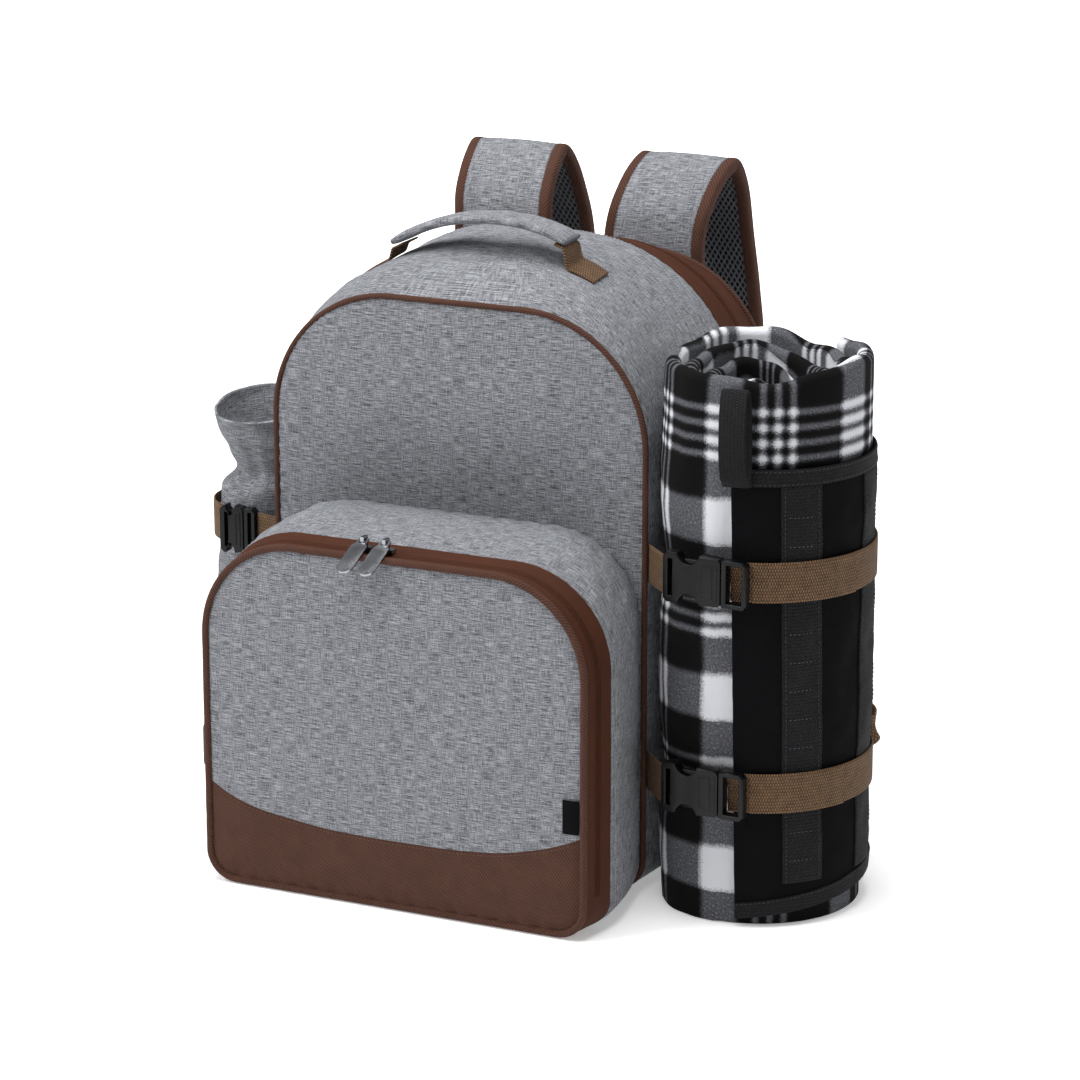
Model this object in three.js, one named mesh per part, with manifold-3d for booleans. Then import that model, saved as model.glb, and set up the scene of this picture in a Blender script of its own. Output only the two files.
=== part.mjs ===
// Picnic cooler backpack with its rolled blanket, in millimetres.
// +Z is up, +Y is the wearer's side, -Y is the pocket side.
// The origin is on the ground under the middle of the main compartment.
import * as THREE from 'three';
import Module from 'manifold-3d';

const wasm = await Module();
wasm.setup();

// Clearances between neighbouring pieces
const GAP = 0.3;
const WRAP_GAP = 1;
const SEAM_GAP = 0.8;
const BUCKLE_PLAY = 0.4;

// Cloth and webbing thicknesses
const WALL = 4;
const POCKET_WALL = 2.5;
const HOLDER_WALL = 2;
const WEBBING = 1.6;
const STRIP = 1.2;

// Main compartment
const BAG_WIDTH = 310;
const BAG_HEIGHT = 444;
const BAG_DEPTH = 211;
const BAG_CORNER = 100;
const BAG_FOOT = 22;
const PIPING = 2.3;
const PANEL_CROWN = 7;
const REAR_BAND = 50;
const BACK_PADDING = 7;
const REAR_COIL = 24;
const COIL_WIDTH = 7;
const COIL_PROUD = 1;

// Front pocket
const POCKET_WIDTH = 314;
const POCKET_HEIGHT = 273;
const POCKET_DEPTH = 113.5;
const POCKET_CORNER = 75;
const POCKET_FOOT = 22;
const POCKET_LIFT = 1.5;
const POCKET_PIPING = 2.75;
const POCKET_BAND = 27;
const POCKET_COIL = 10.5;
const POCKET_CROWN = 5;
const BASE_HEIGHT = 56;
const BASE_RISE = 25;

// Bare woven label in the pocket's seam
const LABEL_WIDTH = 12;
const LABEL_HEIGHT = 26;
const LABEL_FOOT = 84;
const LABEL_THICK = 0.8;

// Zip sliders and pulls
const SLIDER_LENGTH = 14;
const SLIDER_WIDTH = 7;
const SLIDER_HEIGHT = 2.8;
const BRIDGE_WIDTH = 3;
const BRIDGE_BAR = 1.2;
const BRIDGE_GAP = 5;
const PIVOT_RISE = 4.8;
const PULL_WIDTH = 13;
const PULL_THICK = 1.6;
const PULL_REACH = 40;
const PULL_EYE = 5.6;
const PULL_RAIL = 1.7;
const PULL_DROOP = 23;
const PULL_CLEAR = 0.6;
const PULL_EYE_CLEAR = 0.9;
const PULL_TIP = 0.3;
const PULL_X = { left: -28, right: -10 };

// Carrying handle
const HANDLE_Y = -37.5;
const HANDLE_WIDTH = 30;
const HANDLE_THICK = 7.5;
const HANDLE_LEFT = -82;
const HANDLE_RIGHT = 64;
const HANDLE_TOP = 497;
const HANDLE_END = { left: 473, right: 485 };
const TAB_WIDTH = 28;
const TAB_REACH = 25;
const TAB_LAP = 8;
const GRIP_END = 0.7;
const GRIP_BEND = 2.2;

// Shoulder straps
const STRAP_X = 74;
const STRAP_WIDTH = 84;
const STRAP_PAD = 7.4;
const STRAP_MESH = 3;
const STRAP_BINDING = 10;
const STRAP_RIM = 0.5;
const STRAP_SPAN = 518;
const STRAP_BACKSET = 104;
const SLING_WIDTH = 25;
const SLING_REACH = 270;
const ADJUSTER_HEIGHT = 24;
const ADJUSTER_BAR = 3.5;
const ADJUSTER_THICK = 4;

// Bottle holder
const HOLDER_Y = -48.5;
const HOLDER_RADIUS = 37;
const HOLDER_HEIGHT = 340;
const HOLDER_LIFT = 4;
const HOLDER_SQUEEZE = 0.92;

// Rolled blanket
const ROLL_Y = -59.5;
const ROLL_RADIUS = 80.7;
const ROLL_HEIGHT = 418;
const ROLL_FLAT = 0.145;
const ROLL_FLAT_SPREAD = 48;
const ROLL_LIFT = 0.4;
const ROLL_REST = 1.3;
const ROLL_TURNS = 5;
const ROLL_CORE = 12;
const ROLL_HOLLOW = 2;
const LAYER_GAP = 1.4;
const ROLL_DISH = 6;
const ROLL_STEP = { from: 60, spread: 90 };
const RIM_ROUNDING = 0.3;

// Carrier flap round the blanket
const FLAP_THICK = 1.6;
const FLAP_TOP = 352;
const FLAP_FOOT = 6;
const FLAP_RISE = 16;
const FLAP_START = { top: -84, foot: -79 };
const FLAP_END = 138;
const HEM_HEIGHT = 12.5;
const STRIP_START = { front: { foot: -55, top: -59 }, side: { foot: -9, top: -7 } };
const LOOP_ANGLE = -80;
const LOOP_WIDTH = 20;
const LOOP_HEIGHT = 62;
const LOOP_PROUD = 26;

// Webbing and buckles
const STRAP_WEBBING_WIDTH = 30;
const BUCKLE_HEIGHT = 38;
const BUCKLE_THICK = 10;
const ROLL_BUCKLE = { female: 46.5, male: 20, angle: -94 };
const HOLDER_BUCKLE = { female: 20, male: 10, angle: -88 };
const SHORT_STRAP_DROP = 8;
const ROLL_STRAP_END = 128;
const ROLL_STRAP_SEWN = [{ y: 18, proud: 1.5 }, { y: 30, proud: 0 }, { y: 42, proud: 0 }];
const TAIL_END = { upper: -16, lower: -22 };
const UPPER_STRAP_Z = 268;
const LOWER_STRAP_Z = 106;
const HOLDER_STRAP_Z = 243;
const HOLDER_LOWER_STRAP_Z = 50;

// Colours seen on the object
const GREY_CLOTH = { color: 0x84868b, roughness: 0.92, metalness: 0 };
const BROWN_CLOTH = { color: 0x4b2f27, roughness: 0.85, metalness: 0 };
const ZIP_TAPE = { color: 0x512b1c, roughness: 0.8, metalness: 0 };
const KHAKI_WEBBING = { color: 0x6b5238, roughness: 0.85, metalness: 0 };
const BLACK_WEBBING = { color: 0x1b1b1d, roughness: 0.8, metalness: 0 };
const BLACK_CLOTH = { color: 0x17181a, roughness: 0.7, metalness: 0 };
const BLACK_PLASTIC = { color: 0x101114, roughness: 0.35, metalness: 0 };
const SATIN_METAL = { color: 0x8d8f94, roughness: 0.3, metalness: 1 };
const FLEECE = { color: 0x55565a, roughness: 1, metalness: 0 };
const SPACER_MESH = { color: 0x121316, roughness: 0.7, metalness: 0 };

const FRONT_Y = -BAG_DEPTH / 2;
const REAR_Y = BAG_DEPTH / 2;
const POCKET_Y = FRONT_Y - POCKET_DEPTH;

// The main compartment's outline at shares of its depth, front seam to rear seam
const BAG_SECTIONS = [
  { along: 0.0, width: 1.0, height: 1.0, corner: 1.0 },
  { along: 0.1, width: 1.013, height: 1.029, corner: 1.08 },
  { along: 0.26, width: 1.032, height: 1.056, corner: 1.3 },
  { along: 0.5, width: 1.052, height: 1.077, corner: 1.5 },
  { along: 0.7, width: 1.065, height: 1.068, corner: 1.4 },
  { along: 0.86, width: 1.071, height: 1.045, corner: 1.18 },
  { along: 1.0, width: 1.071, height: 1.016, corner: 1.01 },
];

// The pocket's outline at shares of its depth, its front seam to the main panel
const POCKET_SECTIONS = [
  { along: 0.0, width: 1.0, height: 1.0, corner: 1.0 },
  { along: 0.057, width: 1.019, height: 1.001, corner: 1.01 },
  { along: 0.119, width: 1.029, height: 1.002, corner: 1.02 },
  { along: 0.26, width: 1.05, height: 1.012, corner: 1.02 },
  { along: 0.5, width: 1.047, height: 1.032, corner: 1.01 },
  { along: 0.78, width: 1.017, height: 1.04, corner: 0.98 },
  { along: 1.0, width: 0.972, height: 1.036, corner: 0.95 },
];

// The grip's section, in half widths and half thicknesses
const GRIP_SECTION = [[1, 0], [0.82, 1], [-0.82, 1], [-1, 0], [-0.82, -1], [0.82, -1]];

// Cross profile of a zip's coil: half widths beside its middle, and how proud it stands
const COIL_PROFILE = [
  { beside: -1, proud: 0 },
  { beside: -0.8, proud: 1 },
  { beside: 0.8, proud: 1 },
  { beside: 1, proud: 0 },
];

// Shoulder straps: height and set-back of the outer face, and how far each leans out in mm
const STRAP_PATH = [
  { height: 0.79, back: 0.034, left: -8, right: -8 },
  { height: 0.85, back: 0.034, left: -8, right: -8 },
  { height: 0.89, back: 0.038, left: -8, right: -8 },
  { height: 0.927, back: 0.087, left: -6, right: -6 },
  { height: 0.961, back: 0.22, left: -4, right: -4 },
  { height: 0.984, back: 0.36, left: -2, right: -2 },
  { height: 0.998, back: 0.51, left: 0, right: 0 },
  { height: 0.996, back: 0.6, left: -1, right: 1 },
  { height: 0.975, back: 0.69, left: -3, right: 2 },
  { height: 0.94, back: 0.765, left: -6, right: 3 },
  { height: 0.873, back: 0.837, left: -11, right: 4 },
  { height: 0.79, back: 0.856, left: -14, right: 9 },
  { height: 0.714, back: 0.826, left: -13, right: 14 },
  { height: 0.62, back: 0.765, left: -7, right: 16 },
  { height: 0.52, back: 0.68, left: 1, right: 16 },
  { height: 0.415, back: 0.565, left: 9, right: 16 },
  { height: 0.315, back: 0.43, left: 16, right: 16 },
];

// Lower webbing of a shoulder strap, from its adjuster to the rear seam: shares of
// the sling's reach and the strap's set-back and height, and the turn from level
const SLING_PATH = [
  { reach: 0.44, back: 0.34, height: 0.212, turn: 40 },
  { reach: 0.58, back: 0.28, height: 0.198, turn: 68 },
  { reach: 0.73, back: 0.19, height: 0.19, turn: 84 },
  { reach: 0.88, back: 0.07, height: 0.183, turn: 90 },
  { reach: 0.965, back: -0.04, height: 0.178, turn: 90 },
  { reach: 0.985, back: -0.12, height: 0.168, turn: 90 },
  { reach: 0.94, back: -0.165, height: 0.155, turn: 90 },
  { reach: 0.84, back: -0.14, height: 0.135, turn: 90 },
  { reach: 0.74, back: -0.08, height: 0.11, turn: 90 },
  { reach: 0.685, back: -0.01, height: 0.092, turn: 90 },
  { reach: 0.64, back: 0.032, height: 0.084, turn: 90 },
  { reach: 0.6, back: 0.031, height: 0.08, turn: 90 },
];

// Bottle holder: height, girth, how far front and rear rims differ, and the depth of its pleats
const HOLDER_SECTIONS = [
  { height: 0.0, girth: 1.0, tilt: 0, pleat: 0 },
  { height: 0.05, girth: 1.2, tilt: 0, pleat: 0 },
  { height: 0.17, girth: 1.22, tilt: 0, pleat: 0 },
  { height: 0.36, girth: 1.13, tilt: 0, pleat: 0 },
  { height: 0.6, girth: 1.05, tilt: 0, pleat: 0 },
  { height: 0.74, girth: 1.05, tilt: 0, pleat: 0.01 },
  { height: 0.795, girth: 0.99, tilt: 0, pleat: 0.04 },
  { height: 0.835, girth: 0.82, tilt: 0, pleat: 0.1 },
  { height: 0.87, girth: 0.88, tilt: 0.1, pleat: 0.08 },
  { height: 0.92, girth: 1.02, tilt: 0.5, pleat: 0.04 },
  { height: 0.98, girth: 1.09, tilt: 1, pleat: 0.02 },
];
const HOLDER_RIM_TILT = 7;
const HOLDER_PLEATS = 8;

// Where round the roll its upper rim rises or dips, in degrees and mm
const ROLL_RIM = [
  { at: 0, rise: 6.5, spread: 50 },
  { at: 110, rise: 8, spread: 45 },
  { at: -62, rise: -5, spread: 25 },
];

// How the flap handle's webbing stands off the blanket
const LOOP_PATH = [
  { height: 0.0, proud: 0.0 },
  { height: 0.25, proud: 0.01 },
  { height: 0.6, proud: 0.04 },
  { height: 0.88, proud: 0.2 },
  { height: 1.0, proud: 0.46 },
  { height: 0.93, proud: 0.72 },
  { height: 0.7, proud: 0.87 },
  { height: 0.4, proud: 0.87 },
  { height: 0.15, proud: 0.65 },
  { height: 0.03, proud: 0.32 },
];

// Facets along each part of an arch
const STEPS = { foot: 3, side: 1, corner: 7, top: 2, bottom: 2 };

function radians(degrees) {
  return degrees * Math.PI / 180;
}

function lerp(a, b, share) {
  return a + (b - a) * share;
}

// Reads a column of a table at a share along it, straight between rows
function read(table, column, along, key = 'along') {
  const share = THREE.MathUtils.clamp(along, table[0][key], table[table.length - 1][key]);
  let i = 1;
  while (i < table.length - 1 && table[i][key] < share) {
    i += 1;
  }
  const before = table[i - 1];
  const after = table[i];
  const part = (share - before[key]) / (after[key] - before[key]);
  return lerp(before[column], after[column], part);
}

function smooth(p0, p1, p2, p3, t) {
  const linear = (p2 - p0) * t;
  const square = (2 * p0 - 5 * p1 + 4 * p2 - p3) * t ** 2;
  const cube = (3 * p1 - p0 - 3 * p2 + p3) * t ** 3;
  return p1 + (linear + square + cube) / 2;
}

// Adds rows between a table's own, on a smooth curve through them
function refined(table, per) {
  const rows = [];
  for (let i = 0; i < table.length - 1; i += 1) {
    const around = [i - 1, i, i + 1, i + 2].map((k) => table[THREE.MathUtils.clamp(k, 0, table.length - 1)]);
    for (let k = 0; k < per; k += 1) {
      const columns = Object.keys(table[0]).map((c) => [c, smooth(...around.map((row) => row[c]), k / per)]);
      rows.push(Object.fromEntries(columns));
    }
  }
  rows.push(table[table.length - 1]);
  return rows;
}

function bagArch(y) {
  const along = (y - FRONT_Y) / BAG_DEPTH;
  return {
    half: BAG_WIDTH / 2 * read(BAG_SECTIONS, 'width', along),
    bottom: 0,
    top: BAG_HEIGHT * read(BAG_SECTIONS, 'height', along),
    corner: BAG_CORNER * read(BAG_SECTIONS, 'corner', along),
    foot: BAG_FOOT,
  };
}

function pocketArch(y) {
  const along = (y - POCKET_Y) / POCKET_DEPTH;
  return {
    half: POCKET_WIDTH / 2 * read(POCKET_SECTIONS, 'width', along),
    bottom: POCKET_LIFT,
    top: POCKET_HEIGHT * read(POCKET_SECTIONS, 'height', along),
    corner: POCKET_CORNER * read(POCKET_SECTIONS, 'corner', along),
    foot: POCKET_FOOT,
  };
}

function inset(arch, by) {
  return {
    half: arch.half - by,
    bottom: arch.bottom + by,
    top: arch.top - by,
    corner: arch.corner - by,
    foot: arch.foot - by,
  };
}

function raised(arch, by) {
  return { ...arch, bottom: arch.bottom + by };
}

// One arc of an arch, as points with their outward normals
function arcPoints(cx, cz, radius, fromDegrees, toDegrees, steps) {
  const points = [];
  for (let i = 0; i <= steps; i += 1) {
    const angle = radians(lerp(fromDegrees, toDegrees, i / steps));
    const nx = Math.cos(angle);
    const nz = Math.sin(angle);
    points.push({ x: cx + radius * nx, z: cz + radius * nz, nx, nz });
  }
  return points;
}

// A closed arch with rounded top corners and small feet, anticlockwise from its right foot
function outline(arch) {
  const corner = Math.min(arch.corner, arch.half);
  const reach = arch.half - corner;
  const footReach = arch.half - arch.foot;
  const rightFoot = arcPoints(footReach, arch.bottom + arch.foot, arch.foot, -90, 0, STEPS.foot);
  const rightCorner = arcPoints(reach, arch.top - corner, corner, 0, 90, STEPS.corner);
  const leftCorner = arcPoints(-reach, arch.top - corner, corner, 90, 180, STEPS.corner);
  const leftFoot = arcPoints(-footReach, arch.bottom + arch.foot, arch.foot, 180, 270, STEPS.foot);
  const runs = [rightFoot, rightCorner, leftCorner, leftFoot];
  const between = [STEPS.side, STEPS.top, STEPS.side, STEPS.bottom];
  const points = [];
  runs.forEach((run, r) => {
    points.push(...run);
    const from = run[run.length - 1];
    const to = runs[(r + 1) % runs.length][0];
    for (let i = 1; i < between[r]; i += 1) {
      const share = i / between[r];
      points.push({ x: lerp(from.x, to.x, share), z: lerp(from.z, to.z, share), nx: from.nx, nz: from.nz });
    }
  });
  return points;
}

// Lowest and highest z of an outline at x, along its straight facets
function boundsAt(points, x) {
  const heights = [];
  points.forEach((a, i) => {
    const b = points[(i + 1) % points.length];
    const low = Math.min(a.x, b.x);
    const high = Math.max(a.x, b.x);
    if (x < low - 1e-6 || x > high + 1e-6) {
      return;
    }
    if (high - low < 1e-6) {
      heights.push(a.z, b.z);
    } else {
      heights.push(lerp(a.z, b.z, (x - a.x) / (b.x - a.x)));
    }
  });
  return { low: Math.min(...heights), high: Math.max(...heights) };
}

// Height of the main compartment's top or side wall above x, y
function bagTop(x, y) {
  return boundsAt(outline(bagArch(y)), x).high;
}

// How far the side wall stands out at depth y
function bagSide(y) {
  return bagArch(y).half;
}

// Closed surface through equal rings of points: a loop of rings, or a run with both ends closed
function loft(rings, isLoop) {
  const count = rings[0].length;
  const positions = [];
  rings.forEach((ring) => ring.forEach((p) => positions.push(p.x, p.y, p.z)));
  const faces = [];
  const last = isLoop ? rings.length : rings.length - 1;
  for (let r = 0; r < last; r += 1) {
    const next = (r + 1) % rings.length;
    for (let i = 0; i < count; i += 1) {
      const j = (i + 1) % count;
      const a = r * count + i;
      const b = r * count + j;
      const c = next * count + j;
      const d = next * count + i;
      faces.push([a, b, c], [a, c, d]);
    }
  }
  if (!isLoop) {
    closeEnd(rings[0], 0, positions, faces, false);
    closeEnd(rings[rings.length - 1], (rings.length - 1) * count, positions, faces, true);
  }
  return surface(positions, faces);
}

function closeEnd(ring, offset, positions, faces, isLast) {
  const middle = new THREE.Vector3();
  ring.forEach((p) => middle.add(p));
  middle.divideScalar(ring.length);
  const centre = positions.length / 3;
  positions.push(middle.x, middle.y, middle.z);
  for (let i = 0; i < ring.length; i += 1) {
    const a = offset + i;
    const b = offset + (i + 1) % ring.length;
    faces.push(isLast ? [a, b, centre] : [b, a, centre]);
  }
}

// A geometry whose faces point outwards, whichever way its rings were listed
function surface(positions, faces) {
  const at = (i) => new THREE.Vector3().fromArray(positions, i * 3);
  let volume = 0;
  faces.forEach(([a, b, c]) => {
    volume += at(a).dot(at(b).cross(at(c)));
  });
  const ordered = volume < 0 ? faces.map(([a, b, c]) => [a, c, b]) : faces;
  const geometry = new THREE.BufferGeometry();
  geometry.setAttribute('position', new THREE.Float32BufferAttribute(positions, 3));
  geometry.setIndex(ordered.flat());
  geometry.computeVertexNormals();
  return geometry;
}

function piece(name, geometry, look) {
  const mesh = new THREE.Mesh(geometry, new THREE.MeshStandardMaterial(look));
  mesh.name = name;
  return mesh;
}

// A wall that runs round an arch, from one depth to another, its underside kept flat
function ringWall(stations, archAt, wall) {
  const outer = stations.map((s) => outline(inset(archAt(s.y), -(s.proud ?? 0)))
    .map((p) => ({ ...p, z: Math.max(p.z, archAt(s.y).bottom) })));
  const inner = stations.map((s) => outline(inset(archAt(s.y), wall)));
  const rings = outer[0].map((_, i) => {
    const ring = stations.map((s, k) => new THREE.Vector3(outer[k][i].x, s.y, outer[k][i].z));
    for (let k = stations.length - 1; k >= 0; k -= 1) {
      ring.push(new THREE.Vector3(inner[k][i].x, stations[k].y, inner[k][i].z));
    }
    return ring;
  });
  return loft(rings, true);
}

// Round piping along an arch at depth y
function pipingRing(arch, y, radius, sides) {
  const rings = outline(arch).map((p) => {
    const ring = [];
    for (let k = 0; k < sides; k += 1) {
      const angle = 2 * Math.PI * k / sides;
      const out = radius * Math.cos(angle);
      ring.push(new THREE.Vector3(p.x + out * p.nx, y + radius * Math.sin(angle), p.z + out * p.nz));
    }
    return ring;
  });
  return loft(rings, true);
}

// A cloth panel between a lower and an upper edge, its face at front(x, z) and flat up to a height
function clothPanel(xs, edges, front, thickness, steps, flatTo = 0) {
  const rings = xs.map((x) => {
    const { low, high } = edges(x);
    const start = Math.max(low, flatTo);
    const heights = flatTo > low ? [low] : [];
    for (let i = 0; i <= steps; i += 1) {
      heights.push(lerp(start, high, i / steps));
    }
    const face = heights.map((z) => new THREE.Vector3(x, front(x, z), z));
    const back = face.map((p) => new THREE.Vector3(p.x, p.y + thickness, p.z)).reverse();
    return [...face, ...back];
  });
  return loft(rings, false);
}

// The x stations that an outline's own corners give
function stationsOf(points) {
  const xs = [...new Set(points.map((p) => Math.round(p.x * 1000) / 1000))];
  return xs.sort((a, b) => a - b).filter((x, i, all) => i === 0 || x - all[i - 1] > 0.5);
}

// A flat strip along a path, each row giving its middle, its width direction and its face normal
function strip(rows, width, thickness) {
  const rings = rows.map((row) => {
    const across = row.across.clone().multiplyScalar((row.width ?? width) / 2);
    const up = row.normal.clone().multiplyScalar((row.thickness ?? thickness) / 2);
    return [
      row.at.clone().add(across).add(up),
      row.at.clone().sub(across).add(up),
      row.at.clone().sub(across).sub(up),
      row.at.clone().add(across).sub(up),
    ];
  });
  return loft(rings, false);
}

function solid(geometry) {
  const index = geometry.getIndex();
  const position = geometry.getAttribute('position');
  const keys = new Map();
  const vertices = [];
  const lookup = [];
  for (let i = 0; i < position.count; i += 1) {
    const at = [position.getX(i), position.getY(i), position.getZ(i)];
    const key = at.map((v) => Math.round(v * 1e4)).join(',');
    if (!keys.has(key)) {
      keys.set(key, vertices.length / 3);
      vertices.push(...at);
    }
    lookup.push(keys.get(key));
  }
  const corners = index ? Array.from(index.array) : lookup.map((_, i) => i);
  const triVerts = [];
  for (let i = 0; i < corners.length; i += 3) {
    const [a, b, c] = corners.slice(i, i + 3).map((k) => lookup[k]);
    if (a !== b && b !== c && a !== c) {
      triVerts.push(a, b, c);
    }
  }
  const mesh = new wasm.Mesh({
    numProp: 3,
    vertProperties: new Float32Array(vertices),
    triVerts: new Uint32Array(triVerts),
  });
  return new wasm.Manifold(mesh);
}

function geometryOf(manifold) {
  const mesh = manifold.getMesh();
  const geometry = new THREE.BufferGeometry();
  geometry.setAttribute('position', new THREE.BufferAttribute(new Float32Array(mesh.vertProperties), 3));
  geometry.setIndex(Array.from(mesh.triVerts));
  geometry.computeVertexNormals();
  return geometry;
}

function block(x0, x1, y0, y1, z0, z1) {
  const geometry = new THREE.BoxGeometry(x1 - x0, y1 - y0, z1 - z0);
  geometry.translate((x0 + x1) / 2, (y0 + y1) / 2, (z0 + z1) / 2);
  return solid(geometry);
}

// Main compartment
const POCKET_TOP = pocketArch(FRONT_Y).top + PIPING;

function frontFace(x, z) {
  const arch = bagArch(FRONT_Y);
  const rise = THREE.MathUtils.clamp((z - POCKET_TOP) / (arch.top - POCKET_TOP), 0, 1);
  const side = 1 - (x / arch.half) ** 2;
  return FRONT_Y - PIPING + GAP * 2 - PANEL_CROWN * Math.sin(Math.PI * rise) * Math.max(side, 0);
}

function mainPieces() {
  const seamStart = FRONT_Y + PIPING + GAP;
  const bandStart = REAR_Y - REAR_BAND;
  const wallYs = BAG_SECTIONS.map((s) => FRONT_Y + s.along * BAG_DEPTH);
  const gusset = [seamStart, ...wallYs.filter((y) => y > seamStart + 1 && y < bandStart - 1), bandStart];
  const bandEnd = REAR_Y - PIPING - GAP;
  const band = zipStations(bandStart + GAP, bandStart + REAR_COIL, bandEnd, []);
  const frontArch = raised(bagArch(FRONT_Y), PIPING + GAP);
  const rearArch = raised(bagArch(REAR_Y), PIPING + GAP);
  const panelLine = outline(inset(frontArch, PIPING + GAP));
  const backLine = outline(inset(rearArch, PIPING + GAP));
  const backFace = (x, z) => {
    const across = 1 - (x / rearArch.half) ** 2;
    const up = 1 - (2 * z / rearArch.top - 1) ** 2;
    return REAR_Y - PIPING + BACK_PADDING * 0.6 * Math.max(across, 0) * Math.max(up, 0);
  };
  return [
    piece('front_panel',
      clothPanel(stationsOf(panelLine), (x) => boundsAt(panelLine, x), frontFace, WALL, 5, POCKET_TOP),
      GREY_CLOTH),
    piece('main_gusset', ringWall(gusset.map((y) => ({ y })), bagArch, WALL), GREY_CLOTH),
    piece('main_piping', pipingRing(frontArch, FRONT_Y, PIPING, 6), BROWN_CLOTH),
    piece('rear_zip_band', ringWall(band, bagArch, WALL), ZIP_TAPE),
    piece('rear_piping', pipingRing(rearArch, REAR_Y, PIPING, 6), BROWN_CLOTH),
    piece('back_panel',
      clothPanel(stationsOf(backLine), (x) => boundsAt(backLine, x), backFace, WALL, 4), GREY_CLOTH),
  ];
}

// Stations across a zip band: its edges, its coil and the depths where its bed bends
function zipStations(from, coil, to, bends) {
  const ridge = COIL_PROFILE.map((row) => ({
    y: coil + row.beside * COIL_WIDTH / 2,
    proud: row.proud * COIL_PROUD,
  }));
  const isClear = (y) => y > from && y < to && Math.abs(y - coil) > COIL_WIDTH;
  const bed = [from, ...bends.filter(isClear), to].map((y) => ({ y }));
  return [...bed, ...ridge].sort((a, b) => a.y - b.y);
}

// Front pocket
const COIL_Y = POCKET_Y + POCKET_PIPING + GAP + POCKET_COIL;

function seamHeight(x) {
  return BASE_HEIGHT + BASE_RISE * Math.abs(2 * x / POCKET_WIDTH) ** 3;
}

function pocketFace(x, z) {
  const arch = pocketArch(POCKET_Y);
  const across = Math.max(1 - (x / arch.half) ** 2, 0);
  const up = Math.sin(Math.PI * THREE.MathUtils.clamp(z / arch.top, 0, 1));
  return POCKET_Y - POCKET_PIPING + GAP * 4 - POCKET_CROWN * across * up;
}

function pocketPieces() {
  const frontArch = raised(pocketArch(POCKET_Y), POCKET_PIPING - POCKET_LIFT + GAP);
  const line = outline(inset(frontArch, POCKET_PIPING + GAP));
  const xs = stationsOf(line);
  const bandStart = POCKET_Y + POCKET_PIPING + GAP;
  const bandEnd = bandStart + POCKET_BAND;
  const wallEnd = FRONT_Y - PIPING - GAP;
  const wallYs = POCKET_SECTIONS.map((s) => POCKET_Y + s.along * POCKET_DEPTH);
  const wall = [bandEnd + GAP, ...wallYs.filter((y) => y > bandEnd + 2 && y < wallEnd - 2), wallEnd];
  const upper = (x) => {
    const { high } = boundsAt(line, x);
    return { low: seamHeight(x) + GAP / 2, high };
  };
  const lower = (x) => {
    const { low } = boundsAt(line, x);
    return { low, high: seamHeight(x) - GAP / 2 };
  };
  return [
    piece('pocket_front', clothPanel(xs, upper, pocketFace, POCKET_WALL, 4), GREY_CLOTH),
    piece('pocket_base_band', clothPanel(xs, lower, pocketFace, POCKET_WALL, 2), BROWN_CLOTH),
    piece('pocket_piping', pipingRing(frontArch, POCKET_Y, POCKET_PIPING, 6), BROWN_CLOTH),
    piece('pocket_zip_band',
      ringWall(zipStations(bandStart, COIL_Y, bandEnd, wallYs), pocketArch, POCKET_WALL), ZIP_TAPE),
    piece('pocket_gusset', ringWall(wall.map((y) => ({ y })), pocketArch, POCKET_WALL), GREY_CLOTH),
    sideLabel(line),
  ];
}

function sideLabel(line) {
  const edge = boundsAt(line, 0);
  const right = Math.max(...line.map((p) => p.x)) - GAP;
  const xs = [right - LABEL_WIDTH, right - LABEL_WIDTH / 2, right];
  const heights = { low: Math.max(LABEL_FOOT, edge.low), high: LABEL_FOOT + LABEL_HEIGHT };
  const face = (x, z) => pocketFace(x, z) - LABEL_THICK - GAP;
  return piece('side_label', clothPanel(xs, () => heights, face, LABEL_THICK, 2), BLACK_CLOTH);
}

// Zip sliders, each with a bridge that its pull hangs on
const SLIDER_FOOT = pocketArch(COIL_Y + COIL_WIDTH / 2).top + COIL_PROUD + GAP;
const PIVOT_Z = SLIDER_FOOT + SLIDER_HEIGHT + PIVOT_RISE;

function zipSlider(name, x) {
  const top = SLIDER_FOOT + SLIDER_HEIGHT;
  const outerY = BRIDGE_GAP / 2 + BRIDGE_BAR;
  const outerZ = PIVOT_Z + PULL_THICK / 2 + PULL_CLEAR;
  const body = block(-SLIDER_LENGTH / 2, SLIDER_LENGTH / 2, -SLIDER_WIDTH / 2, SLIDER_WIDTH / 2,
    SLIDER_FOOT, top);
  const arch = block(-BRIDGE_WIDTH / 2, BRIDGE_WIDTH / 2, -outerY, outerY, top - 1, outerZ + BRIDGE_BAR);
  const under = block(-BRIDGE_WIDTH, BRIDGE_WIDTH, -BRIDGE_GAP / 2, BRIDGE_GAP / 2, top, outerZ);
  const mesh = piece(name, geometryOf(body.add(arch.subtract(under))), SATIN_METAL);
  mesh.position.set(x, COIL_Y, 0);
  return mesh;
}

// A stretch of the pull's plate, in reach from its pivot along its droop
function pullPart(from, to, steps, x0, x1, halfWidthAt) {
  const droop = radians(PULL_DROOP);
  const half = PULL_THICK / 2;
  const rings = [];
  for (let i = 0; i <= steps; i += 1) {
    const reach = lerp(from, to, i / steps);
    const trim = halfWidthAt(reach);
    const corner = (x, side) => new THREE.Vector3(
      x * trim,
      -reach * Math.cos(droop) - side * half * Math.sin(droop),
      -reach * Math.sin(droop) + side * half * Math.cos(droop),
    );
    rings.push([corner(x1, 1), corner(x0, 1), corner(x0, -1), corner(x1, -1)]);
  }
  return solid(loft(rings, false));
}

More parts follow.
